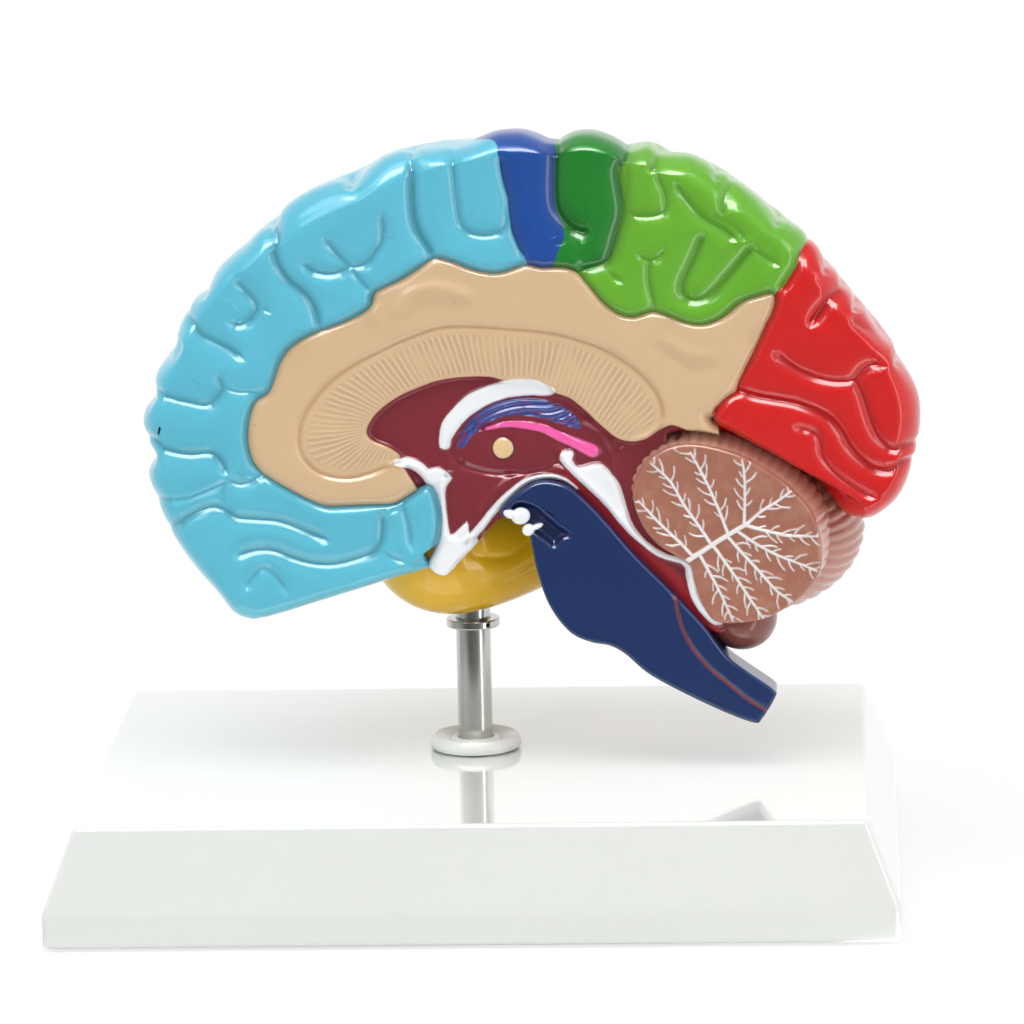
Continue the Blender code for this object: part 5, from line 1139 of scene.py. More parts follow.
def rib_phase(right, up):
    """Length passed along the callosum's middle line at the rib that each point lies on.

    A rib runs straight from a start to an end, so a point p lies on it where (end - start) x (p - start) = 0.
    The ribs are gone through in order, and the point's place is interpolated where that product changes sign.
    """
    fine = np.linspace(0.0, len(RIB_STARTS) - 1.0, 561)
    marks = np.arange(len(RIB_STARTS))
    starts, ends = (np.stack([np.interp(fine, marks, np.array(side)[:, k]) for k in (0, 1)], axis=1)
                    for side in (RIB_STARTS, RIB_ENDS))
    passed = lengths_along(0.65 * starts + 0.35 * ends)
    phase = np.zeros(right.shape)
    settled = np.zeros(right.shape, bool)
    before = None
    for start, end, here in zip(starts, ends, passed):
        run = end - start
        side = (run[0] * (up - start[1]) - run[1] * (right - start[0])) / np.hypot(*run)
        along = (run[0] * (right - start[0]) + run[1] * (up - start[1])) / (run @ run)
        if before is not None:
            crossed = (before[0] * side <= 0.0) & (along > -0.4) & (along < 1.3) & ~settled
            share = before[0] / np.where(before[0] == side, 1.0, before[0] - side)
            phase = np.where(crossed, before[1] + np.clip(share, 0.0, 1.0) * (here - before[1]), phase)
            settled |= crossed
        before = (side, here)
    return phase


def make_limbic_field(settings):
    """Tan band, ribbed corpus callosum and, sunk behind them, the ventricle with all that is painted in it.

    The surface is a depth behind the cut face, a sum of steps and mounds over polar rings about its middle.
    """
    shares = np.concatenate([np.linspace(0.008, 0.93, 104), np.linspace(0.935, 1.0, 16)])
    flat = star_rings(limbic_outline(), LIMBIC_MIDDLE, shares, LIMBIC_RAYS)
    right, up = flat[..., 0], flat[..., 1]

    def zone(outline):
        return inside_distance(right, up, outline)

    callosum = zone(CALLOSUM_EDGE + [(30.0, 36.0), (30.0, 24.0), (0.0, 19.0), (-6.0, 26.0)])
    callosal_gap = path_distance(right, up, smooth_path(CALLOSUM_EDGE))[0]
    rib_place = rib_phase(right, up)
    disc = zone(DISC_EDGE)
    ventricle_edge = smooth_path(VENTRICLE_ROOF).tolist() + VENTRICLE_FLOOR
    ventricle = inside_distance(right, up, ventricle_edge, smooth=False)
    fornix, choroid, lamina, tectum = zone(FORNIX), zone(CHOROID_PLEXUS), zone(LAMINA), zone(TECTUM)
    stria_gap, stria_place = path_distance(right, up, smooth_path(PINK_STRIA), reach=6.0)
    stria_length = lengths_along(smooth_path(PINK_STRIA))[-1]
    stria_width = np.interp(stria_place / stria_length, np.linspace(0.0, 1.0, 6), STRIA_HALF_WIDTHS)
    stria = stria_width - stria_gap
    (dot_right, dot_up), dot_radius = CREAM_DOT
    dot = dot_radius - np.hypot(right - dot_right, up - dot_up)
    (mound_right, mound_up), (mound_wide, mound_high) = THALAMUS
    mound = 1.0 - np.hypot((right - mound_right) / mound_wide, (up - mound_up) / mound_high)
    line_gap, line_place = path_distance(right, up, smooth_path(STEM_WHITE_LINE), reach=6.0)
    white_line = np.interp(line_place, [0.0, 10.0, 24.0, 30.0], [0.75, 0.75, 0.35, 0.2]) - line_gap
    red_gap, red_place = path_distance(right, up, smooth_path(RED_BAND), reach=9.0)
    red_gap = red_gap + 2.4 * (1.0 - ease(red_place, 4.0, 17.0))
    edge = smooth_path(np.vstack([limbic_outline(), limbic_outline()[:1]]))
    tan_inside = zone(LAMINA_LEFT + TAN_EDGE + [(60.0, 30.0), (60.0, -20.0), (0.0, -20.0), (-9.0, 5.0)])

    depth = np.full(right.shape, settings.limbic_recess)
    depth += furrow_depth(right, up, LIMBIC_FOLDS) * ease(-callosum, 0.5, 3.0)
    depth += 0.7 * np.exp(-((callosal_gap / 0.55) ** 2)) * (1.0 - ease(ventricle, -2.5, -0.5))
    depth += 0.45 * ease(callosum, -0.2, 1.2)
    depth += 0.16 * ripple(right, 0.0, up, 17.0)
    sunk = settings.ventricle_recess * ease(ventricle, -0.25, 0.55)
    sunk += 0.5 * np.exp(-((mound / 0.10) ** 2)) * ease(ventricle, 0.5, 2.0)
    sunk -= 0.35 * ease(mound, 0.0, 0.9)
    sunk += furrow_depth(right, up, VENTRICLE_FOLDS) * ease(ventricle, 0.2, 1.2)
    depth += sunk
    depth -= 0.9 * ease(fornix, -0.45, 0.65)
    depth -= 0.5 * ease(choroid, -0.3, 0.9) * (1.0 + 0.4 * np.sin(4.2 * fornix))
    depth -= 0.75 * np.sqrt(np.clip(stria, 0.0, 1.0)) + 0.15 * ease(stria, -0.4, 0.2)
    depth -= 0.2 * ease(dot, -0.15, 0.35) - 0.25 * np.exp(-(((dot + 0.35) / 0.35) ** 2))
    depth -= 1.3 * ease(lamina, -0.35, 0.7)
    depth -= 1.5 * ease(tectum, -0.5, 0.9)
    depth -= 0.9 * np.exp(-((red_gap / 1.5) ** 2))
    depth -= 1.2 * ease(white_line, -0.3, 0.6)
    depth += lip(tan_inside, settings.lip_drop, settings.lip_width)
    pits = np.max([radius - np.hypot(right - x, up - y) for x, y, radius in TAN_PITS], axis=0)
    depth += 0.25 * ease(pits, -0.15, 0.1)
    depth += 7.0 * ease(disc, -3.1, -2.3) * ease(right, 39.6, 41.4) * ease(up, 30.0, 34.0)
    sides = path_distance(right, up, edge, reach=2.0)[0]
    depth += 0.7 * (1.0 - ease(sides, 0.0, 0.7)) * (1.0 - ease(up, 20.0, 22.0))

    front = np.stack([right, depth, up - VIEW_SHIFT * depth], axis=2)
    wall = front[-1:].repeat(2, axis=0)
    wall[0, :, 1] = np.maximum(wall[0, :, 1] + 0.3, 6.0)
    wall[1, :, 1] = np.maximum(wall[0, :, 1] + 0.5, 8.0)
    shape = np.concatenate([front, wall])
    grown = {
        "callosum": callosum, "rib_place": rib_place, "ventricle": ventricle, "fornix": fornix,
        "choroid": choroid, "stria": stria, "dot": dot, "lamina": lamina, "tectum": tectum,
        "white_line": white_line, "red_gap": red_gap, "callosal_gap": callosal_gap, "pits": pits,
        "dot_turn": np.arctan2(up - dot_up, right - dot_right),
    }
    attributes = {key: np.concatenate([values, values[-1:], values[-1:]]) for key, values in grown.items()}
    piece = piece_from_rings("limbic_field", in_metres(shape), attributes)
    return dress_brain(piece, limbic_material(settings, grown))


def limbic_material(settings, keys):
    """Tan paint, a ribbed callosum with painted shade between its ribs and painted highlights on their
    crests, painted shade in the callosal groove and the pits, and the maroon ventricle with its white, pink,
    blue and cream parts.
    """
    shader = Shader("limbic_paint")
    signed = {key: shader.attribute(key) for key in keys}
    turns = signed["rib_place"] * (2 * math.pi / settings.rib_pitch) + shader.noise(120.0) * 7.0
    rib = turns.math("SINE") * 0.5 + 0.5
    on_ribs = signed["callosum"].rise(1.3, 2.0) * (1.0 - signed["ventricle"].rise(-1.1, -0.5))
    strength = on_ribs * shader.noise(170.0).rise(0.25, 0.6)
    # Painted shade between the callosum's ribs, then a painted highlight line on each crest
    rib_shaded = shader.shade(settings.limbic, 1.0 - (1.0 - rib) * strength * 0.16)
    tint = shader.mix(rib.rise(0.8, 1.0) * strength * 0.4, rib_shaded, srgb(240, 220, 188))
    # Painted shade: darker brown in the callosal groove
    groove_shade = 1.0 - signed["callosal_gap"].rise(0.1, 0.75)
    tint = shader.mix(groove_shade * 0.35, tint, srgb(170, 118, 78))
    # Painted shade: darker paint inside the small pits
    tint = shader.mix(signed["pits"].rise(-0.05, 0.1) * 0.5, tint, srgb(150, 104, 74))
    tint = shader.mix(hand_edge(shader, signed["ventricle"]), tint, settings.maroon)
    red = 1.0 - signed["red_gap"].rise(0.9, 1.7)
    tint = shader.mix(red * signed["ventricle"].rise(0.0, 0.3), tint, settings.red)
    across = signed["choroid"] * 0.9 + signed["fornix"] * 0.5
    strand = shader.node("ShaderNodeCombineXYZ", None, {0: across, 1: signed["dot_turn"] * 1.6})[0]
    streaks = shader.noise(1.2, 3.0, strand)
    plexus = shader.mix(streaks.rise(0.35, 0.45), settings.maroon, srgb(52, 66, 142))
    plexus = shader.mix(streaks.rise(0.60, 0.66) * 0.8, plexus, srgb(120, 160, 212))
    tint = shader.mix(hand_edge(shader, signed["choroid"], 0.2, 0.7), tint, plexus)
    tint = shader.mix(hand_edge(shader, signed["stria"]), tint, settings.pink)
    for key in ("fornix", "tectum", "lamina", "white_line"):
        tint = shader.mix(hand_edge(shader, signed[key]), tint, settings.white)
    ring = signed["dot"].rise(-0.45, -0.3)
    tint = shader.mix(ring * 0.6, tint, srgb(70, 20, 30))
    tint = shader.mix(hand_edge(shader, signed["dot"], 0.1, 0.1), tint, settings.cream)
    return paint(shader, tint, settings, height=rib * strength * 1.3)


def slab_rings(loop, cores, swell=0.0, face_rings=40):
    """Rings of a slab with a rounded front edge: from the core lines to the outline on the front face, round
    a quarter circle, back along the side, swelling by a quarter sine, and in again to the cores behind."""
    normal = rolling_mean(outward_normals(loop), 3)
    swell = np.broadcast_to(swell, len(loop))
    start = loop - normal * SLAB_ROUNDING
    shares = np.concatenate([np.linspace(0.0, 0.96, face_rings), [0.985, 1.0]])
    rings = [(cores + (start - cores) * share, 0.0) for share in shares]
    for angle in np.radians(np.linspace(15.0, 90.0, 6)):
        back = SLAB_ROUNDING * (1.0 - math.cos(angle))
        rings.append((start + normal * SLAB_ROUNDING * math.sin(angle), back))
    for share in np.linspace(0.0, 1.0, 14)[1:]:
        back = SLAB_ROUNDING + (SLAB_THICKNESS - SLAB_ROUNDING) * share
        rings.append((loop + normal * (swell * math.sin(share * math.pi / 2))[:, None], back))
    outer = rings[-1][0]
    rings.append((cores + (outer - cores) * 0.5, SLAB_THICKNESS + 0.5))
    rings.append((cores, SLAB_THICKNESS + 0.8))
    return ring_grid(rings)


def make_brainstem(settings):
    """Navy slab with a rounded edge, a dished hollow under the mammillary body that is painted a darker navy
    as painted shade, and a thin red-brown line.
    """
    loop = resample(smooth_path(STEM_EDGE, closed=True, step=0.3), 420)
    axis = resample(smooth_path(STEM_AXIS, step=0.3), 200, endpoint=True)
    nearest = np.linalg.norm(loop[:, None] - axis[None], axis=2).argmin(axis=1)
    rings = slab_rings(loop, axis[nearest])
    right, back, up = np.moveaxis(rings, 2, 0)
    dish = inside_distance(right, up, STEM_DISH)
    vein = 0.32 - path_distance(right, up, smooth_path(STEM_VEIN), reach=5.0)[0]
    on_face = 1.0 - ease(back, 0.0, 1.5)
    shape = rings.copy()
    shape[..., 1] += on_face * (1.6 * ease(dish, -0.4, 1.3) + 0.12 * ripple(right, back, up, 19.0))
    shape[..., 1] += on_face * 0.25 * np.exp(-((vein - 0.32) / 0.5) ** 2)
    painted = {"vein": np.minimum(vein, 1.2 - back), "dish": np.minimum(dish, 1.2 - back)}
    piece = piece_from_rings("brainstem", in_metres(shape), painted, True, True)

    shader = Shader("navy_paint")
    # Painted shade: the dished hollow is painted a darker navy
    tint = shader.mix(hand_edge(shader, shader.attribute("dish"), 0.3), settings.navy, srgb(17, 34, 78))
    tint = shader.mix(hand_edge(shader, shader.attribute("vein"), 0.12, 0.2), tint, srgb(120, 58, 62))
    return dress_brain(piece, paint(shader, tint, settings))


def ellipsoid(centre, half_sizes, tilt=0.0, around=64, rings=32):
    """Grid of an ellipsoid: centre + half sizes times (cos a sin b, -cos b, sin a sin b), tilted up."""
    b = np.linspace(0.0, math.pi, rings + 2)[1:-1]
    a = np.linspace(0.0, 2 * math.pi, around, endpoint=False)
    b, a = np.meshgrid(b, a, indexing="ij")
    along = half_sizes[0] * np.cos(a) * np.sin(b)
    across = half_sizes[2] * np.sin(a) * np.sin(b)
    right = centre[0] + along * math.cos(tilt) - across * math.sin(tilt)
    up = centre[2] + along * math.sin(tilt) + across * math.cos(tilt)
    return np.stack([right, centre[1] - half_sizes[1] * np.cos(b), up], axis=2)


def make_small_bodies(settings):
    """White mammillary body and nerve stub on the stem's front edge."""
    knobs = []
    for centre, sizes, tilt in MAMMILLARY_KNOBS:
        grid = ellipsoid((centre[0], 0.4, centre[1]), (sizes[0], 1.3, sizes[1]), tilt)
        knobs.append(piece_from_rings("knob", in_metres(grid)))
    material = paint(Shader("white_paint"), settings.white, settings)
    return dress_brain(joined("mammillary_body", knobs), material)


def tree_lines():
    """Branches of the cerebellum's white tree with their half widths at start and end, in mm.

    Each branch bears twigs in turn on its two sides, about 2.1 mm apart, that leave it at about 42 degrees
    and bend back towards its direction.
    """
    lines = [(smooth_path(TREE_TRUNK, step=0.5), 0.46, 0.38)]
    for number, branch in enumerate(TREE_BRANCHES):
        path = smooth_path(branch, step=0.5)
        lines.append((path, 0.30, 0.18))
        along = lengths_along(path)
        for step, place in enumerate(np.arange(2.0, along[-1] - 0.4, 1.15)):
            index = int(np.searchsorted(along, place))
            heading = path[index] - path[index - 1]
            heading /= np.linalg.norm(heading)
            side = 1.0 if (step + number) % 2 else -1.0
            reach = 2.5 + 0.9 * math.sin(2.4 * step + number)
            lean = math.radians(48.0 + 12.0 * math.sin(1.7 * step + 2.0 * number))
            sideways = np.array([-heading[1], heading[0]]) * side
            elbow = path[index] + reach * 0.55 * (heading * math.cos(lean) + sideways * math.sin(lean))
            tip = elbow + reach * 0.45 * (heading * math.cos(lean * 0.6) + sideways * math.sin(lean * 0.6))
            lines.append((smooth_path([path[index], elbow, tip], step=0.6), 0.16, 0.10))
    return lines


def make_cerebellum_disc(settings):
    """Brown cut disc with its raised white tree, and the fluted folia of the rim behind its edge."""
    loop = resample(smooth_path(DISC_EDGE, closed=True, step=0.3), 520)
    cores = np.broadcast_to(DISC_CENTRE, loop.shape)
    place = loop - np.array(DISC_CENTRE)
    turn = np.arctan2(place[:, 1], place[:, 0])
    swell = np.interp(turn, *np.array(DISC_SWELL).T)
    rings = slab_rings(loop, cores, swell=swell, face_rings=92)
    right, back, up = np.moveaxis(rings, 2, 0)
    tree = np.full(right.shape, FAR_OUTSIDE)
    for path, wide, narrow in tree_lines():
        gap, along = path_distance(right, up, path, reach=3.0)
        width = wide + (narrow - wide) * along / lengths_along(path)[-1]
        tree = np.maximum(tree, width - gap)
    on_face = 1.0 - ease(back, 0.0, 0.6)
    shape = rings.copy()
    shape[..., 1] -= on_face * 0.32 * ease(tree, -0.25, 0.25)
    shape[..., 1] += on_face * 0.10 * ripple(right, back, up, 11.0)
    around = lengths_along(np.vstack([loop, loop[:1]]))[:-1]
    flutes = 1.0 - np.abs(np.sin(around * math.pi / (settings.folia_pitch * 0.8))) ** 0.7
    normal = outward_normals(loop)
    sink = 0.4 * flutes[None] * ease(back, 0.8, 2.4) * (swell > 0.2)[None]
    shape[..., 0] -= normal[:, 0] * sink
    shape[..., 2] -= normal[:, 1] * sink
    painted = {"tree": np.where(back > 0.3, FAR_OUTSIDE, tree), "back": back}
    piece = piece_from_rings("cerebellum_disc", in_metres(shape), painted, True, True)

    shader = Shader("cerebellum_paint")
    # The slab's sides and fluted rim are lighter than the disc: partly their own paint, partly painted light
    # against the shade under the red gyri
    rim = srgb(204, 156, 138)
    blotches = shader.noise(420.0, 3.0).rise(0.45, 0.75) * 0.35
    mottled = shader.mix(blotches, settings.brown, srgb(196, 148, 128))
    tint = shader.mix(shader.attribute("back").rise(0.5, 1.4), mottled, rim)
    tint = shader.mix(hand_edge(shader, shader.attribute("tree"), 0.13, 0.2), tint, srgb(232, 232, 232))
    return dress_brain(piece, paint(shader, tint, settings))


def make_cerebellum(settings):
    """Brown hemisphere with ridges that run out like spokes seen from the side, and the tonsil below."""
    centre, half_sizes = (55.5, 23.5, 17.5), (23.1, 22.8, 17.4)
    grid = ellipsoid(centre, half_sizes, around=360, rings=100)
    across, high = grid[..., 0] - centre[0], grid[..., 2] - centre[2]
    turn = np.arctan2(high / half_sizes[2], across / half_sizes[0])
    ridges = round(2 * math.pi * half_sizes[2] / settings.folia_pitch)
    wave = np.abs(np.sin(0.5 * ridges * (turn + 0.05 * np.sin(grid[..., 1] / 5.0))))
    far = ease(np.hypot(across / half_sizes[0], high / half_sizes[2]), 0.15, 0.45)
    sink = 0.7 * (1.0 - wave**0.7) * far
    inward = np.array(centre) - grid
    inward /= np.linalg.norm(inward, axis=2)[..., None]
    piece = piece_from_rings("cerebellum_hemisphere", in_metres(grid + inward * sink[..., None]))
    dress_brain(piece, paint(Shader("folia_paint"), srgb(190, 136, 118), settings))

    tonsil = ellipsoid((54.0, 9.5, 1.9), (7.0, 8.0, 6.6), around=96, rings=48)
    lobe = piece_from_rings("cerebellum_tonsil", in_metres(tonsil))
    return dress_brain(lobe, paint(Shader("tonsil_paint"), srgb(128, 70, 58), settings))


def make_temporal_lobe(settings):
    """Yellow lobe: ellipses carried along a path from the pole back, whose half sizes swell as a rounded cap.

    It sinks under the rest of the domed side near the upper border of the yellow zone.
    """
    middle = resample(smooth_path(TEMPORAL_AXIS, step=0.4), 150, endpoint=True)
    t = np.linspace(0.0, 1.0, 150)
    t = 0.5 - 0.5 * np.cos(math.pi * t)
    along = lengths_along(middle) / lengths_along(middle)[-1]
    middle = np.stack([np.interp(t, along, middle[:, k]) for k in range(3)], axis=1)
    from_pole, from_rear = (np.clip(way, 0.0, 1.0) for way in (t / 0.17, (1.0 - t) / 0.3))
    cap = np.sqrt(1.0 - (1.0 - from_pole) ** 2) * np.sqrt(1.0 - (1.0 - from_rear) ** 2)
    marks = [0.0, 0.2, 0.45, 0.8, 1.0]
    deep = cap * np.interp(t, marks, [14.0, 14.2, 19.0, 20.0, 18.0])
    high = cap * np.interp(t, marks, [14.8, 14.8, 15.0, 14.6, 12.0])
    angle = np.linspace(0.0, 2 * math.pi, 220, endpoint=False)
    ahead = np.gradient(middle, axis=0)
    tilt = np.arctan2(ahead[:, 2], ahead[:, 0])[:, None]
    lift = high[:, None] * np.sin(angle)[None]
    grid = np.stack([
        middle[:, :1] - lift * np.sin(tilt),
        middle[:, 1:2] - deep[:, None] * np.cos(angle)[None],
        middle[:, 2:] + lift * np.cos(tilt),
    ], axis=2)[2:-2]
    right, back, up = np.moveaxis(grid, 2, 0)
    outer = ease(back, 20.0, 30.0)
    depth = outer * furrow_depth(right, up, SIDE_FURROWS, **SIDE_GROOVE)
    depth += (1.0 - outer) * furrow_depth(right, up, TEMPORAL_FOLDS)
    near_border = 1.0 - ease(inside_distance(right, up, TEMPORAL_ZONE), 2.0, 8.0)
    depth += 6.5 * outer * near_border * ease(up, 8.0, 18.0)
    centre = middle[2:-2][:, None]
    outward = (grid - centre) / np.maximum(np.linalg.norm(grid - centre, axis=2), 1e-6)[..., None]
    piece = piece_from_rings("temporal_lobe", in_metres(grid - outward * depth[..., None]))
    return dress_brain(piece, paint(Shader("yellow_paint"), settings.temporal, settings))


def make_pons(settings):
    """Navy swelling behind the stem's slab."""
    grid = ellipsoid((26.5, 5.5, 9.5), (11.0, 12.0, 9.0), tilt=math.radians(-35.0), around=96, rings=48)
    grid[..., 1] = np.maximum(grid[..., 1], 1.5)
    piece = piece_from_rings("pons", in_metres(grid))
    return dress_brain(piece, paint(Shader("pons_paint"), settings.navy, settings))


def turned_piece(name, profile, axis, around=128, bored=False):
    """Profile of (radius, height) points in metres carried once round an upright axis at (x, y)."""
    radius, height = np.array(profile, float).T
    angle = np.linspace(0.0, 2 * math.pi, around, endpoint=False)
    grid = np.stack([
        axis[0] + radius[:, None] * np.cos(angle)[None],
        axis[1] + radius[:, None] * np.sin(angle)[None],
        np.broadcast_to(height[:, None], (len(radius), around)),
    ], axis=2)
    return piece_from_rings(name, grid, open_start=bored, open_end=bored)


def rounded_profile(corners, radius, steps=4):
    """Polyline whose inner corners are quadratic curves, (1 - t)^2 a + 2t(1 - t) b + t^2 c, with a point
    beside each of their ends that keeps the straight stretches flat."""
    points = [np.array(corner, float) for corner in corners]
    result = [points[0]]
    for before, corner, after in zip(points, points[1:], points[2:]):
        back, ahead = before - corner, after - corner
        reach = min(radius, 0.45 * np.linalg.norm(back), 0.45 * np.linalg.norm(ahead))
        start = corner + back / np.linalg.norm(back) * reach
        end = corner + ahead / np.linalg.norm(ahead) * reach
        result.append(start + (start - corner) * 0.15)
        for t in np.linspace(0.0, 1.0, steps + 1):
            result.append((1 - t) ** 2 * start + 2 * t * (1 - t) * corner + t**2 * end)
        result.append(end + (end - corner) * 0.15)
    result.append(points[-1])
    return result


def tray_ring(half_wide, half_deep, radius, height, centre):
    """Rectangle with round corners, its straight sides divided evenly."""
    corners = []
    for quarter, (x, y) in enumerate(((1, 1), (-1, 1), (-1, -1), (1, -1))):
        angles = np.radians(np.linspace(0.0, 90.0, 9) + 90.0 * quarter)
        middle = np.array([x * (half_wide - radius), y * (half_deep - radius)])
        corners.append(middle + radius * np.stack([np.cos(angles), np.sin(angles)], axis=1))
    ring = []
    for this, following in zip(corners, corners[1:] + corners[:1]):
        ring.append(this)
        ring.append(this[-1] + (following[0] - this[-1]) * np.linspace(0.0, 1.0, 18)[1:-1, None])
    flat = np.vstack(ring)
    return np.column_stack([flat + np.array(centre), np.full(len(flat), height)])


def plastic_material(name, tint, roughness, coat=1.0, painted_top_light=None):
    """Glossy moulded plastic with a faint waviness, painted lighter where an attribute marks the tray's top,
    a painted highlight for the light the top takes.
    """
    shader = Shader(name)
    tone = shader.noise(25.0, 2.0) * 0.03 + 0.985
    if painted_top_light:
        tone = tone * (shader.attribute(painted_top_light) * 0.13 + 1.0)
    normal = shader.bump(shader.noise(90.0, 1.0), 0.06, 0.3 * MM)
    return shader.finish(
        base_color=shader.shade(tint, tone), roughness=roughness, coat_weight=coat, coat_roughness=0.04,
        normal=normal, specular_ior_level=0.5,
    )


def make_tray(settings):
    """Glossy white tray: one skin that runs over the outside, round the lower edge and up the inside."""
    centre, (wide, deep), (bottom, roof) = solid_box("base_tray")
    tall, wall, skirt, slope_front = roof - bottom, settings.wall, settings.skirt, settings.slope_front

    def inset(z):
        return max(0.0, (z - skirt) / (tall - skirt))

    ceiling, corner_radius = tall - wall, 1.3 * MM
    outside_ends, inside_ends = -20.0 * MM, -25.0 * MM
    rings = []
    section = rounded_profile(
        [(outside_ends, tall), (0.0, tall), (slope_front, skirt), (slope_front, 0.0),
         (slope_front - wall, 0.0), (slope_front - wall, skirt),
         (slope_front * (1.0 - inset(ceiling)) - wall, ceiling), (inside_ends, ceiling)],
        settings.edge, steps=5,
    )
    ratio = settings.slope_sides / slope_front
    for out, z in section:
        sideways = out * ratio if out > 0.0 else out
        half_wide = wide - settings.slope_sides + sideways
        rings.append(tray_ring(half_wide, deep - slope_front + out, corner_radius, bottom + z, centre))
    grid = np.stack(rings)
    # Painted light: the tray's top is drawn lighter than its sides
    painted_top_light = ease(grid[..., 2] - bottom, tall - 0.8 * MM, tall - 0.2 * MM)
    piece = piece_from_rings("desk_tray", grid, {"painted_top_light": painted_top_light})
    material = plastic_material("white_gloss_plastic", settings.plastic, 0.1, painted_top_light="painted_top_light")
    dress(piece, material, "stand", "white_plastic", "base_tray")

    def half_sizes(z):
        return wide - settings.slope_sides * inset(z), deep - slope_front * inset(z)

    axis = (float(SEAT[0]), float(SEAT[1]))
    in_wall, rib_low, half_rib, fillet = tall - wall / 2, tall - settings.rib_height, 0.9 * MM, 0.3 * MM
    inner = []
    for name, across in (("rib_across", True), ("rib_along", False)):
        rings = []
        for z, narrower in ((in_wall, 0.0), (rib_low + fillet, 0.0), (rib_low, fillet)):
            reach = half_sizes(z)[0 if across else 1] - wall / 2
            half = (reach, half_rib - narrower) if across else (half_rib - narrower, reach)
            place = (centre[0], axis[1]) if across else (axis[0], centre[1])
            rings.append(tray_ring(*half, fillet, bottom + z, place))
        inner.append(piece_from_rings(name, np.stack(rings)))
    top, boss_low, boss, bore = bottom + in_wall, bottom + tall - settings.boss_height, 7.0 * MM, 2.3 * MM
    profile = [(bore, top), (boss, top), (boss, boss_low), (bore, boss_low), (bore, top)]
    inner.append(turned_piece("screw_boss", rounded_profile(profile, fillet), axis, 64, bored=True))
    for name in FOOT_PADS:
        foot, (radius, _), (_, pad_top) = solid_box(name)
        recess, cover = radius + 0.3 * MM, pad_top + 0.3 * MM
        outer = recess + 1.6 * MM
        profile = [(0.0, top), (outer, top), (outer, bottom), (recess, bottom), (recess, cover), (0.0, cover)]
        inner.append(turned_piece("foot_post", rounded_profile(profile, fillet), foot, 64))
    return dress(joined("tray_inside", inner), material, "stand", "white_plastic", "base_tray")


def make_rod(settings):
    """Satin steel rod and collar, and the white dished rosette at the rod's foot."""
    axis = SEAT[:2]
    _, (radius, _), (low, high) = solid_box("post")
    profile = [(0.0, low), (radius, low), (radius, high), (0.0, high)]
    rod = turned_piece("rod", rounded_profile(profile, 0.5 * MM), axis)
    shader = Shader("brushed_steel")
    rings = shader.node("ShaderNodeMapping", None, {"Vector": shader.place(), "Scale": (1.0, 1.0, 60.0)})[0]
    grain = shader.noise(120.0, 3.0, rings)
    steel = shader.finish(
        base_color=shader.shade(settings.steel, grain * 0.12 + 0.94), metallic=1.0,
        roughness=grain * 0.08 + 0.13, normal=shader.bump(grain, 0.03, 0.1 * MM),
    )
    dress(rod, steel, "stand", "satin_steel", "post")

    _, (outer, _), (low, high) = solid_box("collar")
    inner = radius + 0.05 * MM
    profile = [(inner, low), (outer, low), (outer, high), (inner, high), (inner, low)]
    collar = turned_piece("rod_collar", rounded_profile(profile, 0.25 * MM), axis, bored=True)
    shader = Shader("polished_steel")
    # Painted shade: a black spot stands for the dark inside of the collar's pin hole
    spot = (axis[0] + 3.1 * MM, axis[1] - 4.3 * MM, low + 0.8 * MM)
    ends = {0: shader.place(), 1: spot}
    from_spot = shader.node("ShaderNodeVectorMath", {"operation": "DISTANCE"}, ends)[1]
    pin_hole_shade = 1.0 - from_spot.rise(0.35 * MM, 0.5 * MM)
    chrome = shader.finish(
        base_color=shader.mix(pin_hole_shade, settings.steel, srgb(20, 20, 20)), metallic=1.0,
        roughness=shader.noise(300.0) * 0.08 + 0.08,
    )
    dress(collar, chrome, "stand", "satin_steel", "collar")

    _, (outer, _), (low, high) = solid_box("rosette")
    tall, bore, lip_radius = high - low, radius + 0.1 * MM, 4.75 * MM
    profile = [
        (bore, low), (outer - 0.3 * MM, low), (outer, low + 0.45 * tall), (outer - 0.9 * MM, high),
        (outer - 2.0 * MM, high - 0.5 * MM), (lip_radius + 0.6 * MM, low + 0.36 * tall),
        (lip_radius, low + 0.8 * tall), (bore, low + 0.8 * tall), (bore, low),
    ]
    rosette = turned_piece("rosette_ring", rounded_profile(profile, 0.8 * MM), axis, bored=True)
    # Painted light: the rosette's white is whiter than the tray's, lifting the shade round the rod's foot
    material = plastic_material("rosette_plastic", srgb(250, 251, 249), 0.35, 0.3)
    return dress(rosette, material, "stand", "white_plastic", "rosette")


def make_hidden_parts(settings):
    """Finishes of the solids that show only from below: screw, washer, feet and the sleeve in the brain."""
    zinc = Shader("zinc_plate")
    grain = zinc.noise(900.0, 2.0)
    plated = zinc.shade(settings.steel, grain * 0.2 + 0.8)
    zinc.finish(base_color=plated, metallic=1.0, roughness=grain * 0.2 + 0.25)
    rubber = Shader("foot_rubber")
    grain = rubber.noise(1200.0, 2.0)
    black = rubber.shade(settings.rubber, grain * 0.4 + 0.8)
    rubber.finish(base_color=black, roughness=0.75, normal=rubber.bump(grain, 0.3, 0.1 * MM))
    nylon = Shader("sleeve_nylon")
    grain = nylon.noise(500.0, 2.0)
    nylon.finish(base_color=nylon.shade(settings.nylon, grain * 0.1 + 0.94), roughness=0.42)
    finishes = {"post_screw": zinc, "screw_washer": zinc, "socket_bush": nylon}
    finishes.update({name: rubber for name in FOOT_PADS})
    for name, shader in finishes.items():
        mesh = frame["nodes"][name].data
        mesh.materials.clear()
        mesh.materials.append(shader.material)


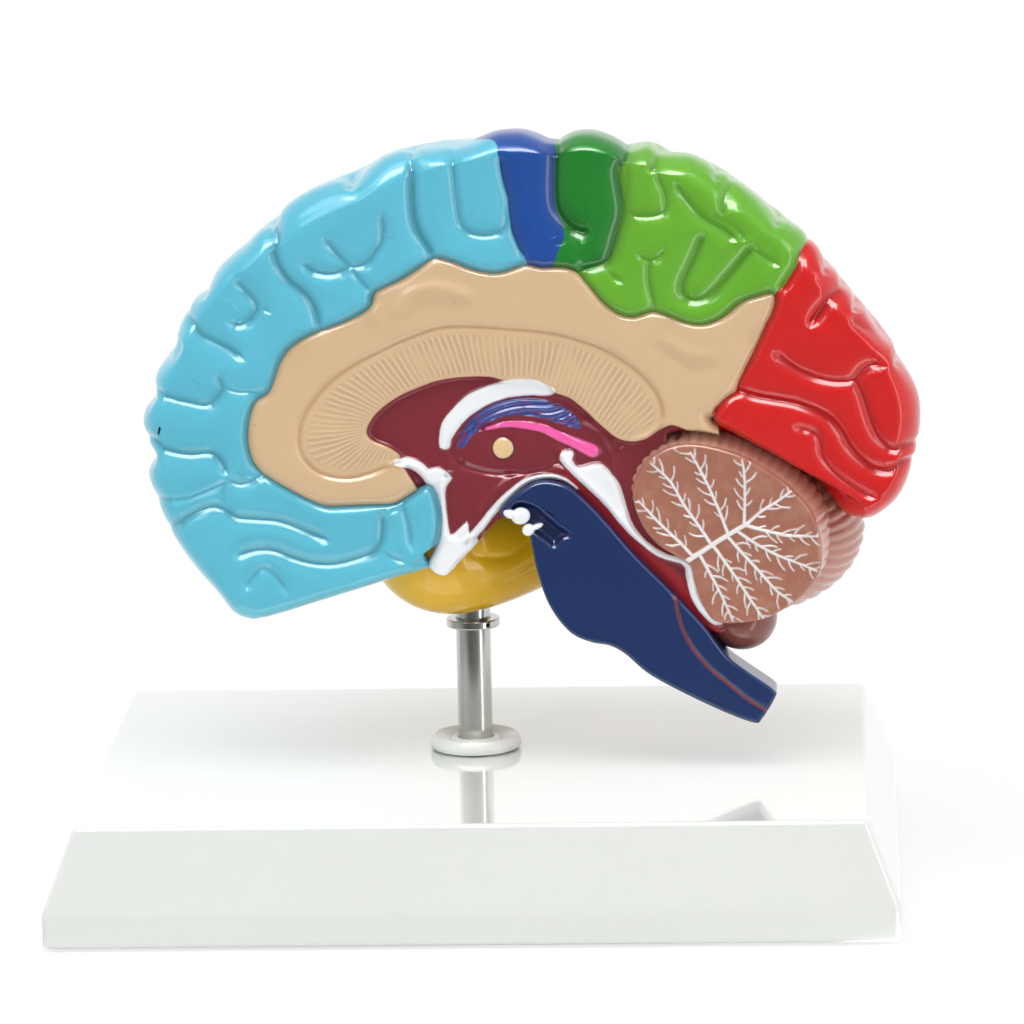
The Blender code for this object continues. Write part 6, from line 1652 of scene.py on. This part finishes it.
def mirrored_sides(aside, behind):
    """Brightness of what glossy surfaces see at a level heading: dark in front, grey at the left, a narrow
    bright strip at the right front, white behind."""
    around = behind.rise(-0.93, -0.4)
    left = (1.0 - aside.rise(-0.5, 0.1)) * (1.0 - behind.rise(0.0, 0.5))
    strip = aside.rise(0.72, 0.76) * (1.0 - aside.rise(0.82, 0.86)) * (1.0 - behind.rise(-0.45, -0.35))
    return (around * 0.82 + 0.18) * (1.0 - left * 0.5) + strip * 3.0


def make_floor(settings):
    """Pale floor that shows white to the camera and in reflections, and keeps part of the object's shadow."""
    half = settings.floor_size / 2
    corners = np.array([(-half, -half, 0.0), (half, -half, 0.0), (half, half, 0.0), (-half, half, 0.0)])
    mesh = bpy.data.meshes.new("studio_floor")
    mesh.from_pydata(corners, [], [(0, 1, 2, 3)])
    floor = bpy.data.objects.new("studio_floor", mesh)
    bpy.context.scene.collection.objects.link(floor)
    shader = Shader("studio_floor")
    shader.finish(base_color=settings.ground, roughness=0.6, specular_ior_level=0.1)
    path = shader.node("ShaderNodeLightPath")
    place = shader.node("ShaderNodeSeparateXYZ", None, {0: shader.place()})
    away = shader.node("ShaderNodeVectorMath", {"operation": "LENGTH"}, {0: shader.place()})[1]
    mirrored = path[3] * (1.0 - path[0])
    surroundings = mirrored_sides(place[0] / (away + 0.001), place[1] / (away + 0.001))
    strength = path[0] + mirrored * surroundings
    white = shader.node("ShaderNodeEmission", None, {"Color": shader.grey(strength), "Strength": 1.0})[0]
    seen = path[0] * (away.rise(0.10, 0.30) * 0.25 + 0.75)
    surface = Signal(shader, shader.surface.outputs[0])
    factor = (seen + mirrored).math("MINIMUM", 1.0)
    mixed = shader.node("ShaderNodeMixShader", None, {0: factor, 1: surface, 2: white})[0]
    output = shader.tree.nodes["Material Output"]
    shader.tree.links.new(mixed.socket, output.inputs["Surface"])
    mesh.materials.append(shader.material)


def add_softbox(name, place, target, size, power):
    lamp = bpy.data.lights.new(name, "AREA")
    lamp.shape = "RECTANGLE"
    lamp.size, lamp.size_y = size
    lamp.energy = power
    box = bpy.data.objects.new(name, lamp)
    bpy.context.scene.collection.objects.link(box)
    aim = np.array(target) - np.array(place)
    box.location = place
    box.rotation_euler = (math.acos(-aim[2] / np.linalg.norm(aim)), 0.0, math.atan2(-aim[0], aim[1]))
    return box


def make_camera(settings):
    """Long lens at the photograph's place: pitched down, turned left and slightly rolled."""
    camera = bpy.data.cameras.new("photo_camera")
    camera.lens = settings.lens
    camera.sensor_width = 36.0
    holder = bpy.data.objects.new("photo_camera", camera)
    bpy.context.scene.collection.objects.link(holder)
    place = np.array(CAMERA_PLACE) * MM
    pitch, yaw, roll = settings.pitch, settings.yaw, settings.roll
    ahead = np.array([-math.sin(yaw) * math.cos(pitch), math.cos(yaw) * math.cos(pitch), -math.sin(pitch)])
    level = np.array([math.cos(yaw), math.sin(yaw), 0.0])
    above = np.cross(level, ahead)
    side = math.cos(roll) * level + math.sin(roll) * above
    top = -math.sin(roll) * level + math.cos(roll) * above
    turn = np.eye(4)
    turn[:3] = np.stack([side, top, -ahead, place], axis=1)
    holder.matrix_world = Matrix(turn.tolist())
    bpy.context.scene.camera = holder


def make_studio(settings):
    """Even white room, a long softbox overhead and two smaller ones at the sides."""
    world = bpy.data.worlds.new("studio_room")
    bpy.context.scene.world = world
    room = Shader("studio_room", world)
    path = room.node("ShaderNodeLightPath")
    heading = room.node("ShaderNodeSeparateXYZ", None, {0: room.node("ShaderNodeTexCoord")[0]})
    sides = mirrored_sides(heading[0], heading[1])
    window = heading[1].rise(-0.66, -0.58) * (1.0 - heading[1].rise(-0.22, -0.14))
    window = window * heading[2].rise(0.55, 0.65)
    window = window * heading[0].rise(-0.5, -0.42) * (1.0 - heading[0].rise(0.3, 0.38))
    mirrored = sides * (1.0 - heading[2].rise(0.3, 0.6) * 0.5) + window * settings.window
    lit = path[3] * mirrored + (1.0 - path[3]) * settings.ambient
    strength = path[0] + (1.0 - path[0]) * lit
    room.fill(room.surface.inputs["Color"], room.grey(strength))
    room.fill(room.surface.inputs["Strength"], 1.0)
    middle = (0.0, 0.0, 0.09)
    add_softbox("overhead_softbox", (-0.1, -0.3, 1.2), middle, (1.5, 0.8), settings.key_power)
    add_softbox("left_softbox", (-0.75, -1.2, 0.95), middle, (0.4, 0.4), settings.fill_power)
    add_softbox("right_softbox", (1.1, -0.45, 0.7), middle, (0.5, 0.5), settings.fill_power)
    bpy.context.scene.view_settings.view_transform = "Standard"


class Building:
    """What the operators share: each carries out its steps with one group of settings."""

    def execute(self, context):
        for step in self.steps:
            step(getattr(context.scene, self.group))
        return {"FINISHED"}


class BRAIN_OT_cortex(Building, bpy.types.Operator):
    """Adds the painted gyri of the cut face's outer band, the rim and the domed side"""

    bl_idname = "brain_model.cortex"
    bl_label = "Cortex"
    group = "brain_paint"
    steps = (make_cortex,)


class BRAIN_OT_limbic_field(Building, bpy.types.Operator):
    """Adds the tan band, the ribbed corpus callosum and the maroon ventricle with its parts"""

    bl_idname = "brain_model.limbic_field"
    bl_label = "Limbic Field"
    group = "brain_paint"
    steps = (make_limbic_field,)


class BRAIN_OT_brainstem(Building, bpy.types.Operator):
    """Adds the navy brainstem, the swelling behind it and the white bodies on its front edge"""

    bl_idname = "brain_model.brainstem"
    bl_label = "Brainstem"
    group = "brain_paint"
    steps = (make_brainstem, make_pons, make_small_bodies)


class BRAIN_OT_cerebellum(Building, bpy.types.Operator):
    """Adds the cerebellum's cut disc with its white tree, the ridged hemisphere and the tonsil"""

    bl_idname = "brain_model.cerebellum"
    bl_label = "Cerebellum"
    group = "brain_paint"
    steps = (make_cerebellum_disc, make_cerebellum)


class BRAIN_OT_temporal_lobe(Building, bpy.types.Operator):
    """Adds the yellow temporal lobe"""

    bl_idname = "brain_model.temporal_lobe"
    bl_label = "Temporal Lobe"
    group = "brain_paint"
    steps = (make_temporal_lobe,)


class BRAIN_OT_stand(Building, bpy.types.Operator):
    """Adds the tray, the rod with its collar and rosette, and the finishes of the hidden fittings"""

    bl_idname = "brain_model.stand"
    bl_label = "Stand"
    group = "brain_stand"
    steps = (make_tray, make_rod, make_hidden_parts)


class BRAIN_OT_studio(Building, bpy.types.Operator):
    """Adds the floor, the room light, the softboxes and the camera"""

    bl_idname = "brain_model.studio"
    bl_label = "Studio"
    group = "brain_studio"
    steps = (make_floor, make_studio, make_camera)


class BRAIN_PT_panel(bpy.types.Panel):
    """Lists the model's operators and settings"""

    bl_label = "Brain Model"
    bl_idname = "BRAIN_PT_panel"
    bl_space_type = "VIEW_3D"
    bl_region_type = "UI"
    bl_category = "Brain Model"

    def draw(self, context):
        layout = self.layout
        for operator in OPERATORS:
            layout.operator(operator.bl_idname)
        for group in (context.scene.brain_paint, context.scene.brain_stand, context.scene.brain_studio):
            box = layout.box()
            for name in group.__annotations__:
                box.prop(group, name)


OPERATORS = (
    BRAIN_OT_studio, BRAIN_OT_stand, BRAIN_OT_cortex, BRAIN_OT_limbic_field, BRAIN_OT_brainstem,
    BRAIN_OT_cerebellum, BRAIN_OT_temporal_lobe,
)
CLASSES = (BrainSettings, StandSettings, StudioSettings, *OPERATORS, BRAIN_PT_panel)


def register():
    for cls in CLASSES:
        bpy.utils.register_class(cls)
    bpy.types.Scene.brain_paint = PointerProperty(type=BrainSettings)
    bpy.types.Scene.brain_stand = PointerProperty(type=StandSettings)
    bpy.types.Scene.brain_studio = PointerProperty(type=StudioSettings)


def unregister():
    del bpy.types.Scene.brain_studio
    del bpy.types.Scene.brain_stand
    del bpy.types.Scene.brain_paint
    for cls in reversed(CLASSES):
        bpy.utils.unregister_class(cls)


def main():
    register()
    for operator in OPERATORS:
        group, name = operator.bl_idname.split(".")
        getattr(getattr(bpy.ops, group), name)()


if __name__ == "__main__":
    main()
